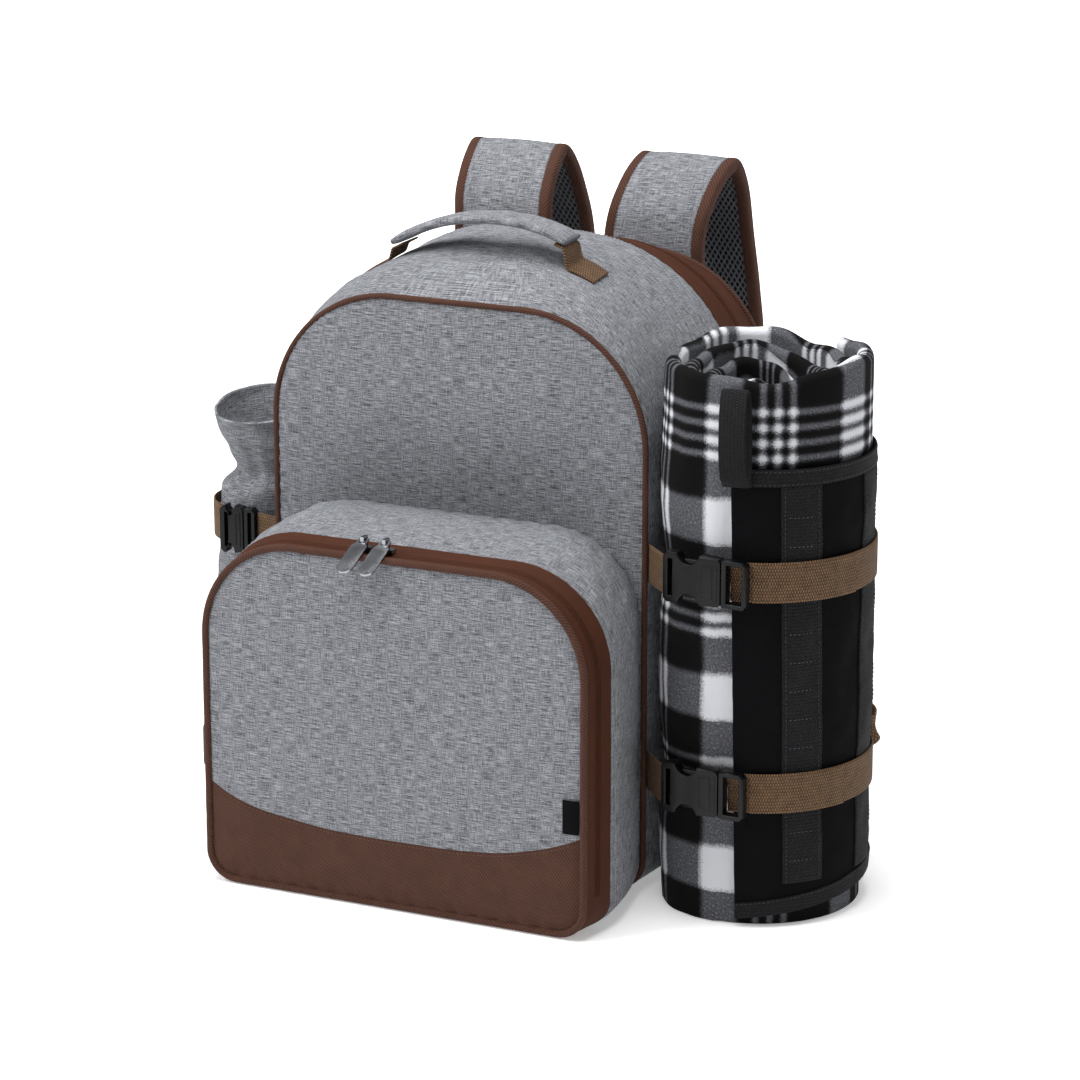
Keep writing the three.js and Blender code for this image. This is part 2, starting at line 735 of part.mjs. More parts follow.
function zipPull(name, x) {
  const half = PULL_WIDTH / 2;
  const eyeHalf = BRIDGE_WIDTH / 2 + PULL_EYE_CLEAR;
  const eyeEnd = PULL_EYE;
  const rounded = (reach) => {
    const past = Math.max(reach - (PULL_REACH - half), 0) / half;
    return Math.max(Math.sqrt(Math.max(1 - past ** 2, 0)), PULL_TIP);
  };
  const full = () => 1;
  const railOuter = eyeHalf + PULL_RAIL;
  const start = -PULL_THICK / 2;
  const rails = pullPart(start, eyeEnd + 0.5, 1, eyeHalf, railOuter, full)
    .add(pullPart(start, eyeEnd + 0.5, 1, -railOuter, -eyeHalf, full))
    .add(pullPart(start, PULL_THICK / 2, 1, -railOuter, railOuter, full));
  const tab = pullPart(eyeEnd, PULL_REACH, 12, -half, half, rounded);
  const mesh = piece(name, geometryOf(rails.add(tab)), SATIN_METAL);
  mesh.position.set(x, COIL_Y, PIVOT_Z);
  return mesh;
}

// A hidden slider at the foot of the rear zip, in one plain piece with its pull
function rearSlider() {
  const y = REAR_Y - REAR_BAND + REAR_COIL;
  const side = -(bagSide(y) + COIL_PROUD + GAP);
  const foot = BAG_FOOT * 5;
  const body = block(side - SLIDER_HEIGHT, side, y - SLIDER_WIDTH / 2, y + SLIDER_WIDTH / 2,
    foot, foot + SLIDER_LENGTH);
  const tab = block(side - SLIDER_HEIGHT, side - SLIDER_HEIGHT + PULL_THICK, y - SLIDER_WIDTH / 3,
    y + SLIDER_WIDTH / 3, foot - PULL_REACH / 2, foot + 1);
  return piece('rear_zip_slider', geometryOf(body.add(tab)), SATIN_METAL);
}

function zipPieces() {
  return [
    zipSlider('zip_slider_left', PULL_X.left),
    zipSlider('zip_slider_right', PULL_X.right),
    zipPull('zip_pull_left', PULL_X.left),
    zipPull('zip_pull_right', PULL_X.right),
    rearSlider(),
  ];
}

// Carrying handle: a padded grip between two webbing tabs sewn to the top
function gripHeight(x) {
  const middle = (HANDLE_LEFT + HANDLE_RIGHT + HANDLE_WIDTH) / 2;
  const span = x < middle ? middle - HANDLE_LEFT : HANDLE_RIGHT - middle;
  const end = x < middle ? HANDLE_END.left : HANDLE_END.right;
  const away = Math.abs(x - middle) / span;
  return HANDLE_TOP - (HANDLE_TOP - end) * away ** GRIP_BEND;
}

function gripGeometry() {
  const steps = 12;
  const rings = [];
  const halfWidth = HANDLE_WIDTH / 2;
  const halfThick = HANDLE_THICK / 2;
  for (let i = 0; i <= steps; i += 1) {
    const x = lerp(HANDLE_LEFT, HANDLE_RIGHT, i / steps);
    const slope = (gripHeight(x + 1) - gripHeight(x - 1)) / 2;
    const tilt = Math.atan(slope);
    const end = i === 0 || i === steps ? GRIP_END : 1;
    rings.push(GRIP_SECTION.map(([across, up]) => {
      const lift = up * halfThick * end;
      return new THREE.Vector3(
        x - lift * Math.sin(tilt),
        HANDLE_Y + across * halfWidth,
        gripHeight(x) + lift * Math.cos(tilt),
      );
    }));
  }
  return loft(rings, false);
}

// Middle height of webbing that lies against the grip's underside
function underGrip(x) {
  const slope = (gripHeight(x + 1) - gripHeight(x - 1)) / 2;
  return gripHeight(x) - (HANDLE_THICK / 2 + GAP + WEBBING / 2) / Math.cos(Math.atan(slope));
}

// A tab comes from under the grip's end and is sewn flat to the cloth beyond it
function tabGeometry(x, side) {
  const lift = WRAP_GAP + WEBBING / 2;
  const half = WEBBING / 2;
  const shares = [-1, -0.5, 0, 0.5, 1];
  const rings = [];
  const addRing = (at, heightAt, lean) => {
    const across = side * half * Math.sin(lean);
    const up = half * Math.cos(lean);
    const edge = (sign) => shares.map((share) => {
      const y = HANDLE_Y + share * TAB_WIDTH / 2;
      return new THREE.Vector3(at + sign * across, y, heightAt(y) + sign * up);
    });
    rings.push([...edge(1), ...edge(-1).reverse()]);
  };
  const onCloth = (at) => (y) => bagTop(at, y) + lift;
  [TAB_LAP, TAB_LAP / 2, 0].forEach((lap) => {
    addRing(x - side * lap, () => underGrip(x - side * lap), radians(20));
  });
  const knee = x + side * WEBBING;
  addRing(knee, (y) => lerp(underGrip(x), onCloth(knee)(y), 0.55), radians(70));
  for (let i = 0; i <= 4; i += 1) {
    const at = x + side * lerp(WEBBING * 2.2, TAB_REACH, i / 4);
    addRing(at, onCloth(at), radians(i === 0 ? 35 : 15));
  }
  return loft(rings, false);
}

function handlePieces() {
  return [
    piece('handle_grip', gripGeometry(), GREY_CLOTH),
    piece('handle_tab_left', tabGeometry(HANDLE_LEFT + 1, -1), KHAKI_WEBBING),
    piece('handle_tab_right', tabGeometry(HANDLE_RIGHT - 1, 1), KHAKI_WEBBING),
  ];
}

// Shoulder straps
function strapRows(side) {
  return STRAP_PATH.map((row) => new THREE.Vector3(
    side * (STRAP_X + (side < 0 ? row.left : row.right)),
    REAR_Y + row.back * STRAP_BACKSET,
    row.height * STRAP_SPAN,
  ));
}

// Points and outward normals of a strap's outer face, in the plane of its bend
function strapFrames(side) {
  const rows = strapRows(side);
  return rows.map((at, i) => {
    const before = rows[Math.max(i - 1, 0)];
    const after = rows[Math.min(i + 1, rows.length - 1)];
    const run = after.clone().sub(before);
    run.x = 0;
    run.normalize();
    return { at, normal: new THREE.Vector3(0, -run.z, run.y), across: new THREE.Vector3(side, 0, 0) };
  });
}

function strapLayer(side, from, to, top, bottom) {
  const rings = strapFrames(side).map(({ at, normal, across }) => {
    const corner = (along, depth) => at.clone()
      .addScaledVector(across, along)
      .addScaledVector(normal, -depth);
    return [corner(to, top), corner(from, top), corner(from, bottom), corner(to, bottom)];
  });
  return loft(rings, false);
}

// The pad's end: its middle, and the ways that the pad and its outer face point
function padEnd(side) {
  const frames = strapFrames(side);
  const { at, normal } = frames[frames.length - 1];
  const middle = at.clone().addScaledVector(normal, -(STRAP_PAD + GAP + STRAP_MESH) / 2);
  return { middle, normal, run: new THREE.Vector3(0, normal.z, -normal.y) };
}

function slingGeometry(side) {
  const end = padEnd(side);
  const starts = [0, ADJUSTER_HEIGHT].map((down) => {
    const at = end.middle.clone().addScaledVector(end.run, ADJUSTER_HEIGHT + GAP * 2 + down);
    return { x: at.x, y: at.y, z: at.z, turn: 0 };
  });
  const table = SLING_PATH.map((row) => ({
    x: side * row.reach * SLING_REACH,
    y: REAR_Y + row.back * STRAP_BACKSET,
    z: row.height * STRAP_SPAN,
    turn: row.turn,
  }));
  const path = refined([...starts, ...table], 3);
  const points = path.map((row) => new THREE.Vector3(row.x, row.y, row.z));
  const rows = path.map((row, i) => {
    const after = points[Math.min(i + 1, points.length - 1)];
    const run = i === 0 ? end.run : after.clone().sub(points[i - 1]).normalize();
    const turn = radians(row.turn);
    const across = new THREE.Vector3(side * Math.cos(turn), 0, Math.sin(turn));
    across.addScaledVector(run, -across.dot(run)).normalize();
    return { at: points[i], across, normal: run.clone().cross(across).normalize() };
  });
  return strip(rows, SLING_WIDTH, WEBBING);
}

// The plain three-bar frame that joins a pad's end to its webbing
function adjusterGeometry(side) {
  const end = padEnd(side);
  const half = SLING_WIDTH / 2 + ADJUSTER_BAR * 2;
  const slotHalf = SLING_WIDTH / 2 + BUCKLE_PLAY;
  const top = -GAP;
  const foot = top - ADJUSTER_HEIGHT;
  const middle = (top + foot) / 2;
  const thick = ADJUSTER_THICK / 2;
  const slot = (from, to) => block(-slotHalf, slotHalf, -thick - 1, thick + 1, from, to);
  const frame = block(-half, half, -thick, thick, foot, top)
    .subtract(slot(foot + ADJUSTER_BAR, middle - ADJUSTER_BAR / 2))
    .subtract(slot(middle + ADJUSTER_BAR / 2, top - ADJUSTER_BAR));
  const geometry = geometryOf(frame);
  const right = new THREE.Vector3(1, 0, 0);
  geometry.applyMatrix4(new THREE.Matrix4().makeBasis(right, end.normal, end.run.clone().negate()));
  geometry.translate(end.middle.x, end.middle.y, end.middle.z);
  return geometry;
}

function strapPieces(word, side) {
  const half = STRAP_WIDTH / 2;
  const core = half - STRAP_BINDING - SEAM_GAP;
  const depth = STRAP_PAD + GAP + STRAP_MESH;
  return [
    piece(`shoulder_strap_${word}`, strapLayer(side, -core, core, 0, STRAP_PAD), GREY_CLOTH),
    piece(`strap_mesh_${word}`, strapLayer(side, -core, core, STRAP_PAD + GAP, depth), SPACER_MESH),
    piece(`strap_binding_${word}_outer`,
      strapLayer(side, core + SEAM_GAP, half, STRAP_RIM, depth - STRAP_RIM), BROWN_CLOTH),
    piece(`strap_binding_${word}_inner`,
      strapLayer(side, -half, -core - SEAM_GAP, STRAP_RIM, depth - STRAP_RIM), BROWN_CLOTH),
    piece(`strap_webbing_${word}`, slingGeometry(side), KHAKI_WEBBING),
    piece(`strap_adjuster_${word}`, adjusterGeometry(side), BLACK_PLASTIC),
  ];
}

// Bottle holder: a cloth tube closed at its foot, drawn in at the neck and open above it
function holderPoint(row, angle, thin, height) {
  const girth = HOLDER_RADIUS * row.girth;
  const pleat = 1 - row.pleat * (0.5 + 0.5 * Math.cos(HOLDER_PLEATS * angle));
  const radius = girth * pleat - thin;
  const wall = -(bagSide(HOLDER_Y) + GAP);
  const cx = wall - girth * HOLDER_SQUEEZE;
  const y = HOLDER_Y + radius * Math.sin(angle);
  const limit = -(bagSide(y) + GAP + thin);
  const x = Math.min(cx + radius * Math.cos(angle), limit);
  const z = height + row.tilt * HOLDER_RIM_TILT * Math.sin(angle);
  return new THREE.Vector3(x, y, z);
}

function holderGeometry() {
  const sides = 24;
  const ring = (row, thin, height) => {
    const points = [];
    for (let k = 0; k < sides; k += 1) {
      points.push(holderPoint(row, 2 * Math.PI * k / sides, thin, height));
    }
    return points;
  };
  const heightOf = (row) => HOLDER_LIFT + row.height * (HOLDER_HEIGHT - HOLDER_LIFT);
  const outer = HOLDER_SECTIONS.map((row) => ring(row, 0, heightOf(row)));
  const floor = (i) => (i === 0 ? HOLDER_WALL : 0);
  const inner = HOLDER_SECTIONS.map((row, i) => ring(row, HOLDER_WALL, heightOf(row) + floor(i)));
  return loft([...outer, ...inner.reverse()], false);
}

// Path of a strap round the holder, at a height, between two angles
function holderRadiusAt(z) {
  const share = (z - HOLDER_LIFT) / (HOLDER_HEIGHT - HOLDER_LIFT);
  return HOLDER_RADIUS * read(HOLDER_SECTIONS, 'girth', share, 'height');
}

function holderCentreX(radius) {
  return -(bagSide(HOLDER_Y) + GAP) - radius * HOLDER_SQUEEZE;
}

// A band round the holder between two angles, then flat against the bag behind it
function holderBand(z, fromDegrees, toDegrees, steps) {
  const low = z - STRAP_WEBBING_WIDTH / 2;
  const high = z + STRAP_WEBBING_WIDTH / 2;
  const radius = Math.max(holderRadiusAt(low), holderRadiusAt(z), holderRadiusAt(high));
  const edge = (angle, height, out) => {
    const reach = radius + WRAP_GAP + out;
    const x = holderCentreX(radius) + reach * Math.cos(angle);
    const y = HOLDER_Y + reach * Math.sin(angle);
    return new THREE.Vector3(Math.min(x, -(bagSide(y) + WRAP_GAP + WEBBING - out)), y, height);
  };
  const rings = [];
  for (let i = 0; i <= steps; i += 1) {
    const angle = radians(lerp(fromDegrees, toDegrees, i / steps));
    rings.push([
      edge(angle, low, WEBBING),
      edge(angle, high, WEBBING),
      edge(angle, high, 0),
      edge(angle, low, 0),
    ]);
  }
  return loft(rings, false);
}

// Side-release buckle, fastened. Local x runs along the strap, y out of the face, z across it.
function buckleHalves(size) {
  const length = size.female + GAP + size.male;
  const left = -length / 2;
  const split = left + size.female;
  const right = length / 2;
  const half = BUCKLE_HEIGHT / 2;
  const thick = BUCKLE_THICK / 2;
  const outlineShape = new THREE.Shape();
  const notchFrom = left + size.female * 0.24;
  const notchTo = left + size.female * 0.62;
  const notchDepth = half * 0.42;
  outlineShape.moveTo(left, -half + 2);
  outlineShape.lineTo(left + 2, -half);
  outlineShape.lineTo(notchFrom, -half);
  outlineShape.quadraticCurveTo(notchFrom + 4, -half + notchDepth,
    (notchFrom + notchTo) / 2, -half + notchDepth);
  outlineShape.quadraticCurveTo(notchTo - 4, -half + notchDepth, notchTo, -half + 2);
  outlineShape.lineTo(split, -half + 1);
  outlineShape.lineTo(split, half - 1);
  outlineShape.lineTo(notchTo, half - 2);
  outlineShape.quadraticCurveTo(notchTo - 4, half - notchDepth, (notchFrom + notchTo) / 2, half - notchDepth);
  outlineShape.quadraticCurveTo(notchFrom + 4, half - notchDepth, notchFrom, half);
  outlineShape.lineTo(left + 2, half);
  outlineShape.lineTo(left, half - 2);
  outlineShape.closePath();
  const extent = { depth: BUCKLE_THICK, bevelEnabled: false, curveSegments: 3 };
  const plate = new THREE.ExtrudeGeometry(outlineShape, extent);
  plate.rotateX(Math.PI / 2);
  plate.translate(0, thick, 0);
  const arm = 4;
  const slotHalf = half - 3.4;
  const female = solid(plate)
    .subtract(block(notchFrom + 2, split + 1, -arm / 2 - BUCKLE_PLAY, arm / 2 + BUCKLE_PLAY,
      -slotHalf, slotHalf));
  const frameStart = split + GAP;
  const bar = 3.2;
  const frame = block(frameStart, right, -thick + 1, thick - 1, -half + 1, half - 1)
    .subtract(block(frameStart + bar, right - bar, -thick, thick, -half + 1 + bar, half - 1 - bar));
  const armReach = notchFrom + 4;
  const armHalf = slotHalf - BUCKLE_PLAY;
  const arms = [-1, 1].map((side) => block(armReach, frameStart + 1, -arm / 2, arm / 2,
    side > 0 ? armHalf - 5 : -armHalf, side > 0 ? armHalf : -armHalf + 5));
  return { female: geometryOf(female), male: geometryOf(frame.add(arms[0]).add(arms[1])), half: length / 2 };
}

function placeBuckle(mesh, cx, cy, z, degrees, radius) {
  const angle = radians(degrees);
  mesh.position.set(cx + radius * Math.cos(angle), cy + radius * Math.sin(angle), z);
  mesh.rotation.z = angle + Math.PI / 2;
  return mesh;
}

function holderPieces() {
  const radius = holderRadiusAt(HOLDER_STRAP_Z - STRAP_WEBBING_WIDTH / 2);
  const cx = holderCentreX(radius);
  const halves = buckleHalves(HOLDER_BUCKLE);
  const angle = radians(HOLDER_BUCKLE.angle);
  const plate = radius + WRAP_GAP + WEBBING / 2 + BUCKLE_THICK / 2 + 1;
  const turn = THREE.MathUtils.radToDeg(Math.atan((halves.half + 1) / plate));
  const along = new THREE.Vector3(-Math.sin(angle), Math.cos(angle), 0);
  const male = new THREE.Vector3(cx + plate * Math.cos(angle), HOLDER_Y + plate * Math.sin(angle), 0)
    .addScaledVector(along, halves.half + 1);
  const buckle = (name, geometry) => placeBuckle(
    piece(name, geometry, BLACK_PLASTIC), cx, HOLDER_Y, HOLDER_STRAP_Z, HOLDER_BUCKLE.angle, plate,
  );
  return [
    piece('bottle_holder', holderGeometry(), GREY_CLOTH),
    piece('holder_strap', holderBand(HOLDER_STRAP_Z, HOLDER_BUCKLE.angle - turn, -252, 18), KHAKI_WEBBING),
    piece('holder_strap_short', straightStrap(-1, HOLDER_STRAP_Z, HOLDER_STRAP_Z, male), KHAKI_WEBBING),
    buckle('holder_buckle_female', halves.female),
    buckle('holder_buckle_male', halves.male),
    piece('holder_strap_lower', holderBand(HOLDER_LOWER_STRAP_Z, -40, -240, 27), BLACK_WEBBING),
  ];
}

// A strap that runs straight from the bag's front seam to a buckle's near end
function straightStrap(side, seamZ, z, end) {
  const seamY = FRONT_Y + PIPING + GAP + WEBBING;
  const start = new THREE.Vector3(side * (bagSide(seamY) + GAP + WEBBING / 2), seamY, seamZ);
  const stop = new THREE.Vector3(end.x, end.y, z);
  const run = stop.clone().sub(start).setZ(0).normalize();
  const normal = new THREE.Vector3(run.y, -run.x, 0);
  const across = new THREE.Vector3(0, 0, 1);
  const middle = start.clone().lerp(stop, 0.5);
  return strip([start, middle, stop].map((at) => ({ at, across, normal })), STRAP_WEBBING_WIDTH, WEBBING);
}

// Rolled blanket, pressed flat where it lies against the bag
const ROLL_X = bagSide(ROLL_Y) + ROLL_REST + ROLL_RADIUS * (1 - ROLL_FLAT);

function rollRadius(degrees) {
  const away = Math.abs(((degrees % 360) + 360) % 360 - 180) / ROLL_FLAT_SPREAD;
  return ROLL_RADIUS * (1 - ROLL_FLAT * Math.exp(-(away ** 2)));
}

function rollPoint(degrees, proud, z) {
  const angle = radians(degrees);
  const radius = rollRadius(degrees) + proud;
  return new THREE.Vector3(ROLL_X + radius * Math.cos(angle), ROLL_Y + radius * Math.sin(angle), z);
}

// Layers run round as rings and step outwards together where the flap hides them
function rollTop(degrees, layer) {
  const rises = ROLL_RIM.map(({ at, rise, spread }) => {
    const away = (((degrees - at) % 360 + 540) % 360 - 180) / spread;
    return rise * Math.exp(-(away ** 2));
  });
  return ROLL_HEIGHT + rises.reduce((a, b) => a + b) - ROLL_DISH * (ROLL_TURNS - layer);
}

function rollGeometry() {
  const perTurn = 24;
  const pitch = (ROLL_RADIUS - ROLL_CORE) / ROLL_TURNS;
  const rings = [];
  for (let i = 0; i <= perTurn * ROLL_TURNS; i += 1) {
    const turned = i / perTurn;
    const degrees = ROLL_STEP.from + 360 * turned;
    const whole = Math.floor(turned);
    const within = THREE.MathUtils.clamp((turned - whole) * 360 / ROLL_STEP.spread, 0, 1);
    const layer = whole - 1 + THREE.MathUtils.smoothstep(within, 0, 1);
    const share = (ROLL_CORE + pitch * (layer + 1)) / ROLL_RADIUS;
    const outer = rollRadius(degrees) * share;
    const thick = pitch * rollRadius(degrees) / ROLL_RADIUS - LAYER_GAP;
    const inner = Math.max(outer - thick, ROLL_HOLLOW);
    const angle = radians(degrees);
    const at = (radius, z) => new THREE.Vector3(
      ROLL_X + radius * Math.cos(angle),
      ROLL_Y + radius * Math.sin(angle),
      z,
    );
    const top = rollTop(degrees, layer + 1);
    const round = thick * RIM_ROUNDING;
    rings.push([
      at(outer, ROLL_LIFT),
      at(outer, top - round),
      at(outer - round, top),
      at(inner + round, top),
      at(inner, top - round),
      at(inner, ROLL_LIFT),
    ]);
  }
  return loft(rings, false);
}

// A band on the roll's surface between two angles, with its edges given at each share along it
function bandOnRoll(steps, angleAt, lowAt, highAt, proud, thickness) {
  const rings = [];
  for (let i = 0; i <= steps; i += 1) {
    const share = i / steps;
    const low = lowAt(share);
    const high = highAt(share);
    rings.push([
      rollPoint(angleAt(share, 0), proud + thickness, low),
      rollPoint(angleAt(share, 1), proud + thickness, high),
      rollPoint(angleAt(share, 1), proud, high),
      rollPoint(angleAt(share, 0), proud, low),
    ]);
  }
  return loft(rings, false);
}

function flapFoot(share) {
  return FLAP_FOOT + FLAP_RISE * Math.min(share / 0.4, 1);
}

function flapAngle(share, up) {
  return lerp(lerp(FLAP_START.foot, FLAP_START.top, up), FLAP_END, share);
}

const FLAP_PROUD = WRAP_GAP;
const ON_FLAP = FLAP_PROUD + FLAP_THICK + GAP;
const STRAP_PROUD = ON_FLAP + STRIP + GAP;

function flapPieces() {
  const bandSteps = 26;
  const topOf = () => FLAP_TOP;
  const stripSpan = THREE.MathUtils.radToDeg(STRAP_WEBBING_WIDTH / ROLL_RADIUS);
  const stripPiece = (name, at) => piece(name, bandOnRoll(
    4,
    (share, up) => lerp(at.foot, at.top, up) + stripSpan * share,
    () => FLAP_FOOT + FLAP_RISE + HEM_HEIGHT,
    () => FLAP_TOP - HEM_HEIGHT - GAP,
    ON_FLAP,
    STRIP,
  ), BLACK_WEBBING);
  return [
    piece('blanket_flap',
      bandOnRoll(bandSteps, flapAngle, flapFoot, topOf, FLAP_PROUD, FLAP_THICK), BLACK_CLOTH),
    piece('flap_top_hem', bandOnRoll(bandSteps, (share) => flapAngle(share, 1),
      () => FLAP_TOP - HEM_HEIGHT, topOf, ON_FLAP, STRIP), BLACK_WEBBING),
    piece('flap_bottom_hem', bandOnRoll(bandSteps, (share) => flapAngle(share, 0),
      flapFoot, (share) => flapFoot(share) + HEM_HEIGHT, ON_FLAP, STRIP), BLACK_WEBBING),
    stripPiece('flap_strip_front', STRIP_START.front),
    stripPiece('flap_strip_side', STRIP_START.side),
    flapHandle(),
  ];
}

function flapHandle() {
  const foot = FLAP_TOP - HEM_HEIGHT;
  const start = ON_FLAP + STRIP + GAP + WEBBING / 2;
  const angle = radians(LOOP_ANGLE);
  const out = new THREE.Vector3(Math.cos(angle), Math.sin(angle), 0);
  const across = new THREE.Vector3(-Math.sin(angle), Math.cos(angle), 0);
  const points = refined(LOOP_PATH, 2).map((row) => rollPoint(LOOP_ANGLE, start + row.proud * LOOP_PROUD,
    foot + row.height * (LOOP_HEIGHT + HEM_HEIGHT)));
  const rows = points.map((at, i) => {
    const next = points[Math.min(i + 1, points.length - 1)];
    const run = next.clone().sub(points[Math.max(i - 1, 0)]).normalize();
    const normal = new THREE.Vector3(0, 0, 1).multiplyScalar(-run.dot(out))
      .addScaledVector(out, run.z).normalize();
    return { at, across, normal };
  });
  return piece('flap_handle', strip(rows, LOOP_WIDTH, WEBBING), BLACK_WEBBING);
}

// A webbing strap round the roll, from the bag's front seam to its side behind the roll
function rollStrap(z, fromDegrees, toDegrees, steps, lift, isSewnBehind) {
  const rows = [];
  for (let i = 0; i <= steps; i += 1) {
    const degrees = lerp(fromDegrees, toDegrees, i / steps);
    const angle = radians(degrees);
    const out = new THREE.Vector3(Math.cos(angle), Math.sin(angle), 0);
    const radius = ROLL_RADIUS + STRAP_PROUD + WEBBING / 2 + lift;
    const at = new THREE.Vector3(ROLL_X + radius * out.x, ROLL_Y + radius * out.y, z);
    rows.push({ at, across: new THREE.Vector3(0, 0, 1), normal: out });
  }
  if (isSewnBehind) {
    ROLL_STRAP_SEWN.forEach(({ y, proud }) => rows.push({
      at: new THREE.Vector3(bagSide(y) + GAP + WEBBING / 2 + proud, y, z),
      across: new THREE.Vector3(0, 0, 1),
      normal: new THREE.Vector3(1, 0, 0),
    }));
  }
  return strip(rows, STRAP_WEBBING_WIDTH, WEBBING);
}

function strapSet(word, z) {
  const halves = buckleHalves(ROLL_BUCKLE);
  const angle = ROLL_BUCKLE.angle;
  const inner = ROLL_RADIUS + STRAP_PROUD + WEBBING / 2;
  const plate = inner + BUCKLE_THICK / 2;
  const away = radians(angle);
  const along = new THREE.Vector3(-Math.sin(away), Math.cos(away), 0);
  const centre = new THREE.Vector3(ROLL_X + plate * Math.cos(away), ROLL_Y + plate * Math.sin(away), z);
  const leftEnd = centre.clone().addScaledVector(along, -halves.half - 1);
  const degreesAt = (reach) => angle + THREE.MathUtils.radToDeg(Math.atan(reach / inner));
  const windowFrom = degreesAt(-halves.half + ROLL_BUCKLE.female + 5);
  const behind = degreesAt(halves.half + 1);
  return [
    piece(`roll_strap_${word}_short`, straightStrap(1, z - SHORT_STRAP_DROP, z, leftEnd), KHAKI_WEBBING),
    piece(`roll_strap_${word}`, rollStrap(z, windowFrom, ROLL_STRAP_END, 26, 0, true), KHAKI_WEBBING),
    piece(`roll_strap_${word}_tail`,
      rollStrap(z, behind, TAIL_END[word], 8, WEBBING + GAP, false), KHAKI_WEBBING),
    placeBuckle(piece(`roll_buckle_${word}_female`, halves.female, BLACK_PLASTIC),
      ROLL_X, ROLL_Y, z, angle, plate),
    placeBuckle(piece(`roll_buckle_${word}_male`, halves.male, BLACK_PLASTIC),
      ROLL_X, ROLL_Y, z, angle, plate),
  ];
}

const backpack = new THREE.Group();
backpack.add(
  ...mainPieces(),
  ...pocketPieces(),
  ...zipPieces(),
  ...handlePieces(),
  ...strapPieces('left', -1),
  ...strapPieces('right', 1),
  ...holderPieces(),
  piece('blanket_roll', rollGeometry(), FLEECE),
  ...flapPieces(),
  ...strapSet('upper', UPPER_STRAP_Z),
  ...strapSet('lower', LOWER_STRAP_Z),
);

export default backpack;
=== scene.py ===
import math

import bmesh
import bpy
import numpy as np
from mathutils import Matrix, Vector


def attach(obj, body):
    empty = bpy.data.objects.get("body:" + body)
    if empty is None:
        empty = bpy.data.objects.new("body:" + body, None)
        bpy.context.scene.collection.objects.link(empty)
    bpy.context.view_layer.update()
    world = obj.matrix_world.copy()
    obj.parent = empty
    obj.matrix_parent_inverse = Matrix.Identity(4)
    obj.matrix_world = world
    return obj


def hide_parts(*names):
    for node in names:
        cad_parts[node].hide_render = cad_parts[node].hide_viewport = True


MM = 0.001
PI = math.pi

# Sizes shared with the CAD part
FRONT_Y, REAR_Y = -105.5, 105.5
BAG_DEPTH = REAR_Y - FRONT_Y
POCKET_Y, POCKET_DEPTH = -219.0, 113.5
PIPING, POCKET_PIPING = 2.3, 2.75
REAR_BAND_Y, REAR_COIL_Y = 55.6, 79.5
POCKET_BAND_Y, POCKET_COIL_Y = -188.8, -205.45
PIVOT_Z, PULL_DROOP = 283.0505, 23
HANDLE_Y, HANDLE_WIDTH, HANDLE_THICK = -37.5, 30.0, 7.5
HANDLE_LEFT, HANDLE_RIGHT, HANDLE_TOP = -82.0, 64.0, 497.0
STRAP_X, STRAP_WIDTH, STRAP_PAD, STRAP_MESH = 74.0, 84.0, 7.4, 3.0
STRAP_BINDING = 10.0
HOLDER_Y, HOLDER_RADIUS, HOLDER_FOOT, HOLDER_TOP = -48.5, 37.0, 4.0, 340.0
ROLL_Y, ROLL_RADIUS, ROLL_TOP = -59.5, 80.7, 418.0
ROLL_TURNS, ROLL_CORE = 5, 12.0
FLAP_TOP, FLAP_FOOT, FLAP_RISE = 352.0, 6.0, 16.0
HEM = 12.5
WEBBING, WEBBING_WIDTH = 1.6, 30.0
UPPER_STRAP_Z, LOWER_STRAP_Z = 268.0, 106.0
HOLDER_STRAP_Z, HOLDER_LOWER_Z = 243.0, 50.0
BUCKLE_HEIGHT, BUCKLE_THICK = 38.0, 10.0

# Outline of the main compartment and of the pocket, at shares of their depth
BAG_ROWS = np.array([
    # along, width, height, corner
    [0.00, 1.000, 1.000, 1.00],
    [0.10, 1.013, 1.029, 1.08],
    [0.26, 1.032, 1.056, 1.30],
    [0.50, 1.052, 1.077, 1.50],
    [0.70, 1.065, 1.068, 1.40],
    [0.86, 1.071, 1.045, 1.18],
    [1.00, 1.071, 1.016, 1.01],
])
POCKET_ROWS = np.array([
    [0.000, 1.000, 1.000, 1.00],
    [0.057, 1.019, 1.001, 1.01],
    [0.119, 1.029, 1.002, 1.02],
    [0.260, 1.050, 1.012, 1.02],
    [0.500, 1.047, 1.032, 1.01],
    [0.780, 1.017, 1.040, 0.98],
    [1.000, 0.972, 1.036, 0.95],
])

# Shoulder straps: height, set-back, and how far the left and right ones lean out
STRAP_ROWS = np.array([
    [0.790, 0.034, -8, -8],
    [0.850, 0.034, -8, -8],
    [0.890, 0.038, -8, -8],
    [0.927, 0.087, -6, -6],
    [0.961, 0.220, -4, -4],
    [0.984, 0.360, -2, -2],
    [0.998, 0.510, 0, 0],
    [0.996, 0.600, -1, 1],
    [0.975, 0.690, -3, 2],
    [0.940, 0.765, -6, 3],
    [0.873, 0.837, -11, 4],
    [0.790, 0.856, -14, 9],
    [0.714, 0.826, -13, 14],
    [0.620, 0.765, -7, 16],
    [0.520, 0.680, 1, 16],
    [0.415, 0.565, 9, 16],
    [0.315, 0.430, 16, 16],
])
STRAP_SPAN, STRAP_BACKSET = 518.0, 104.0

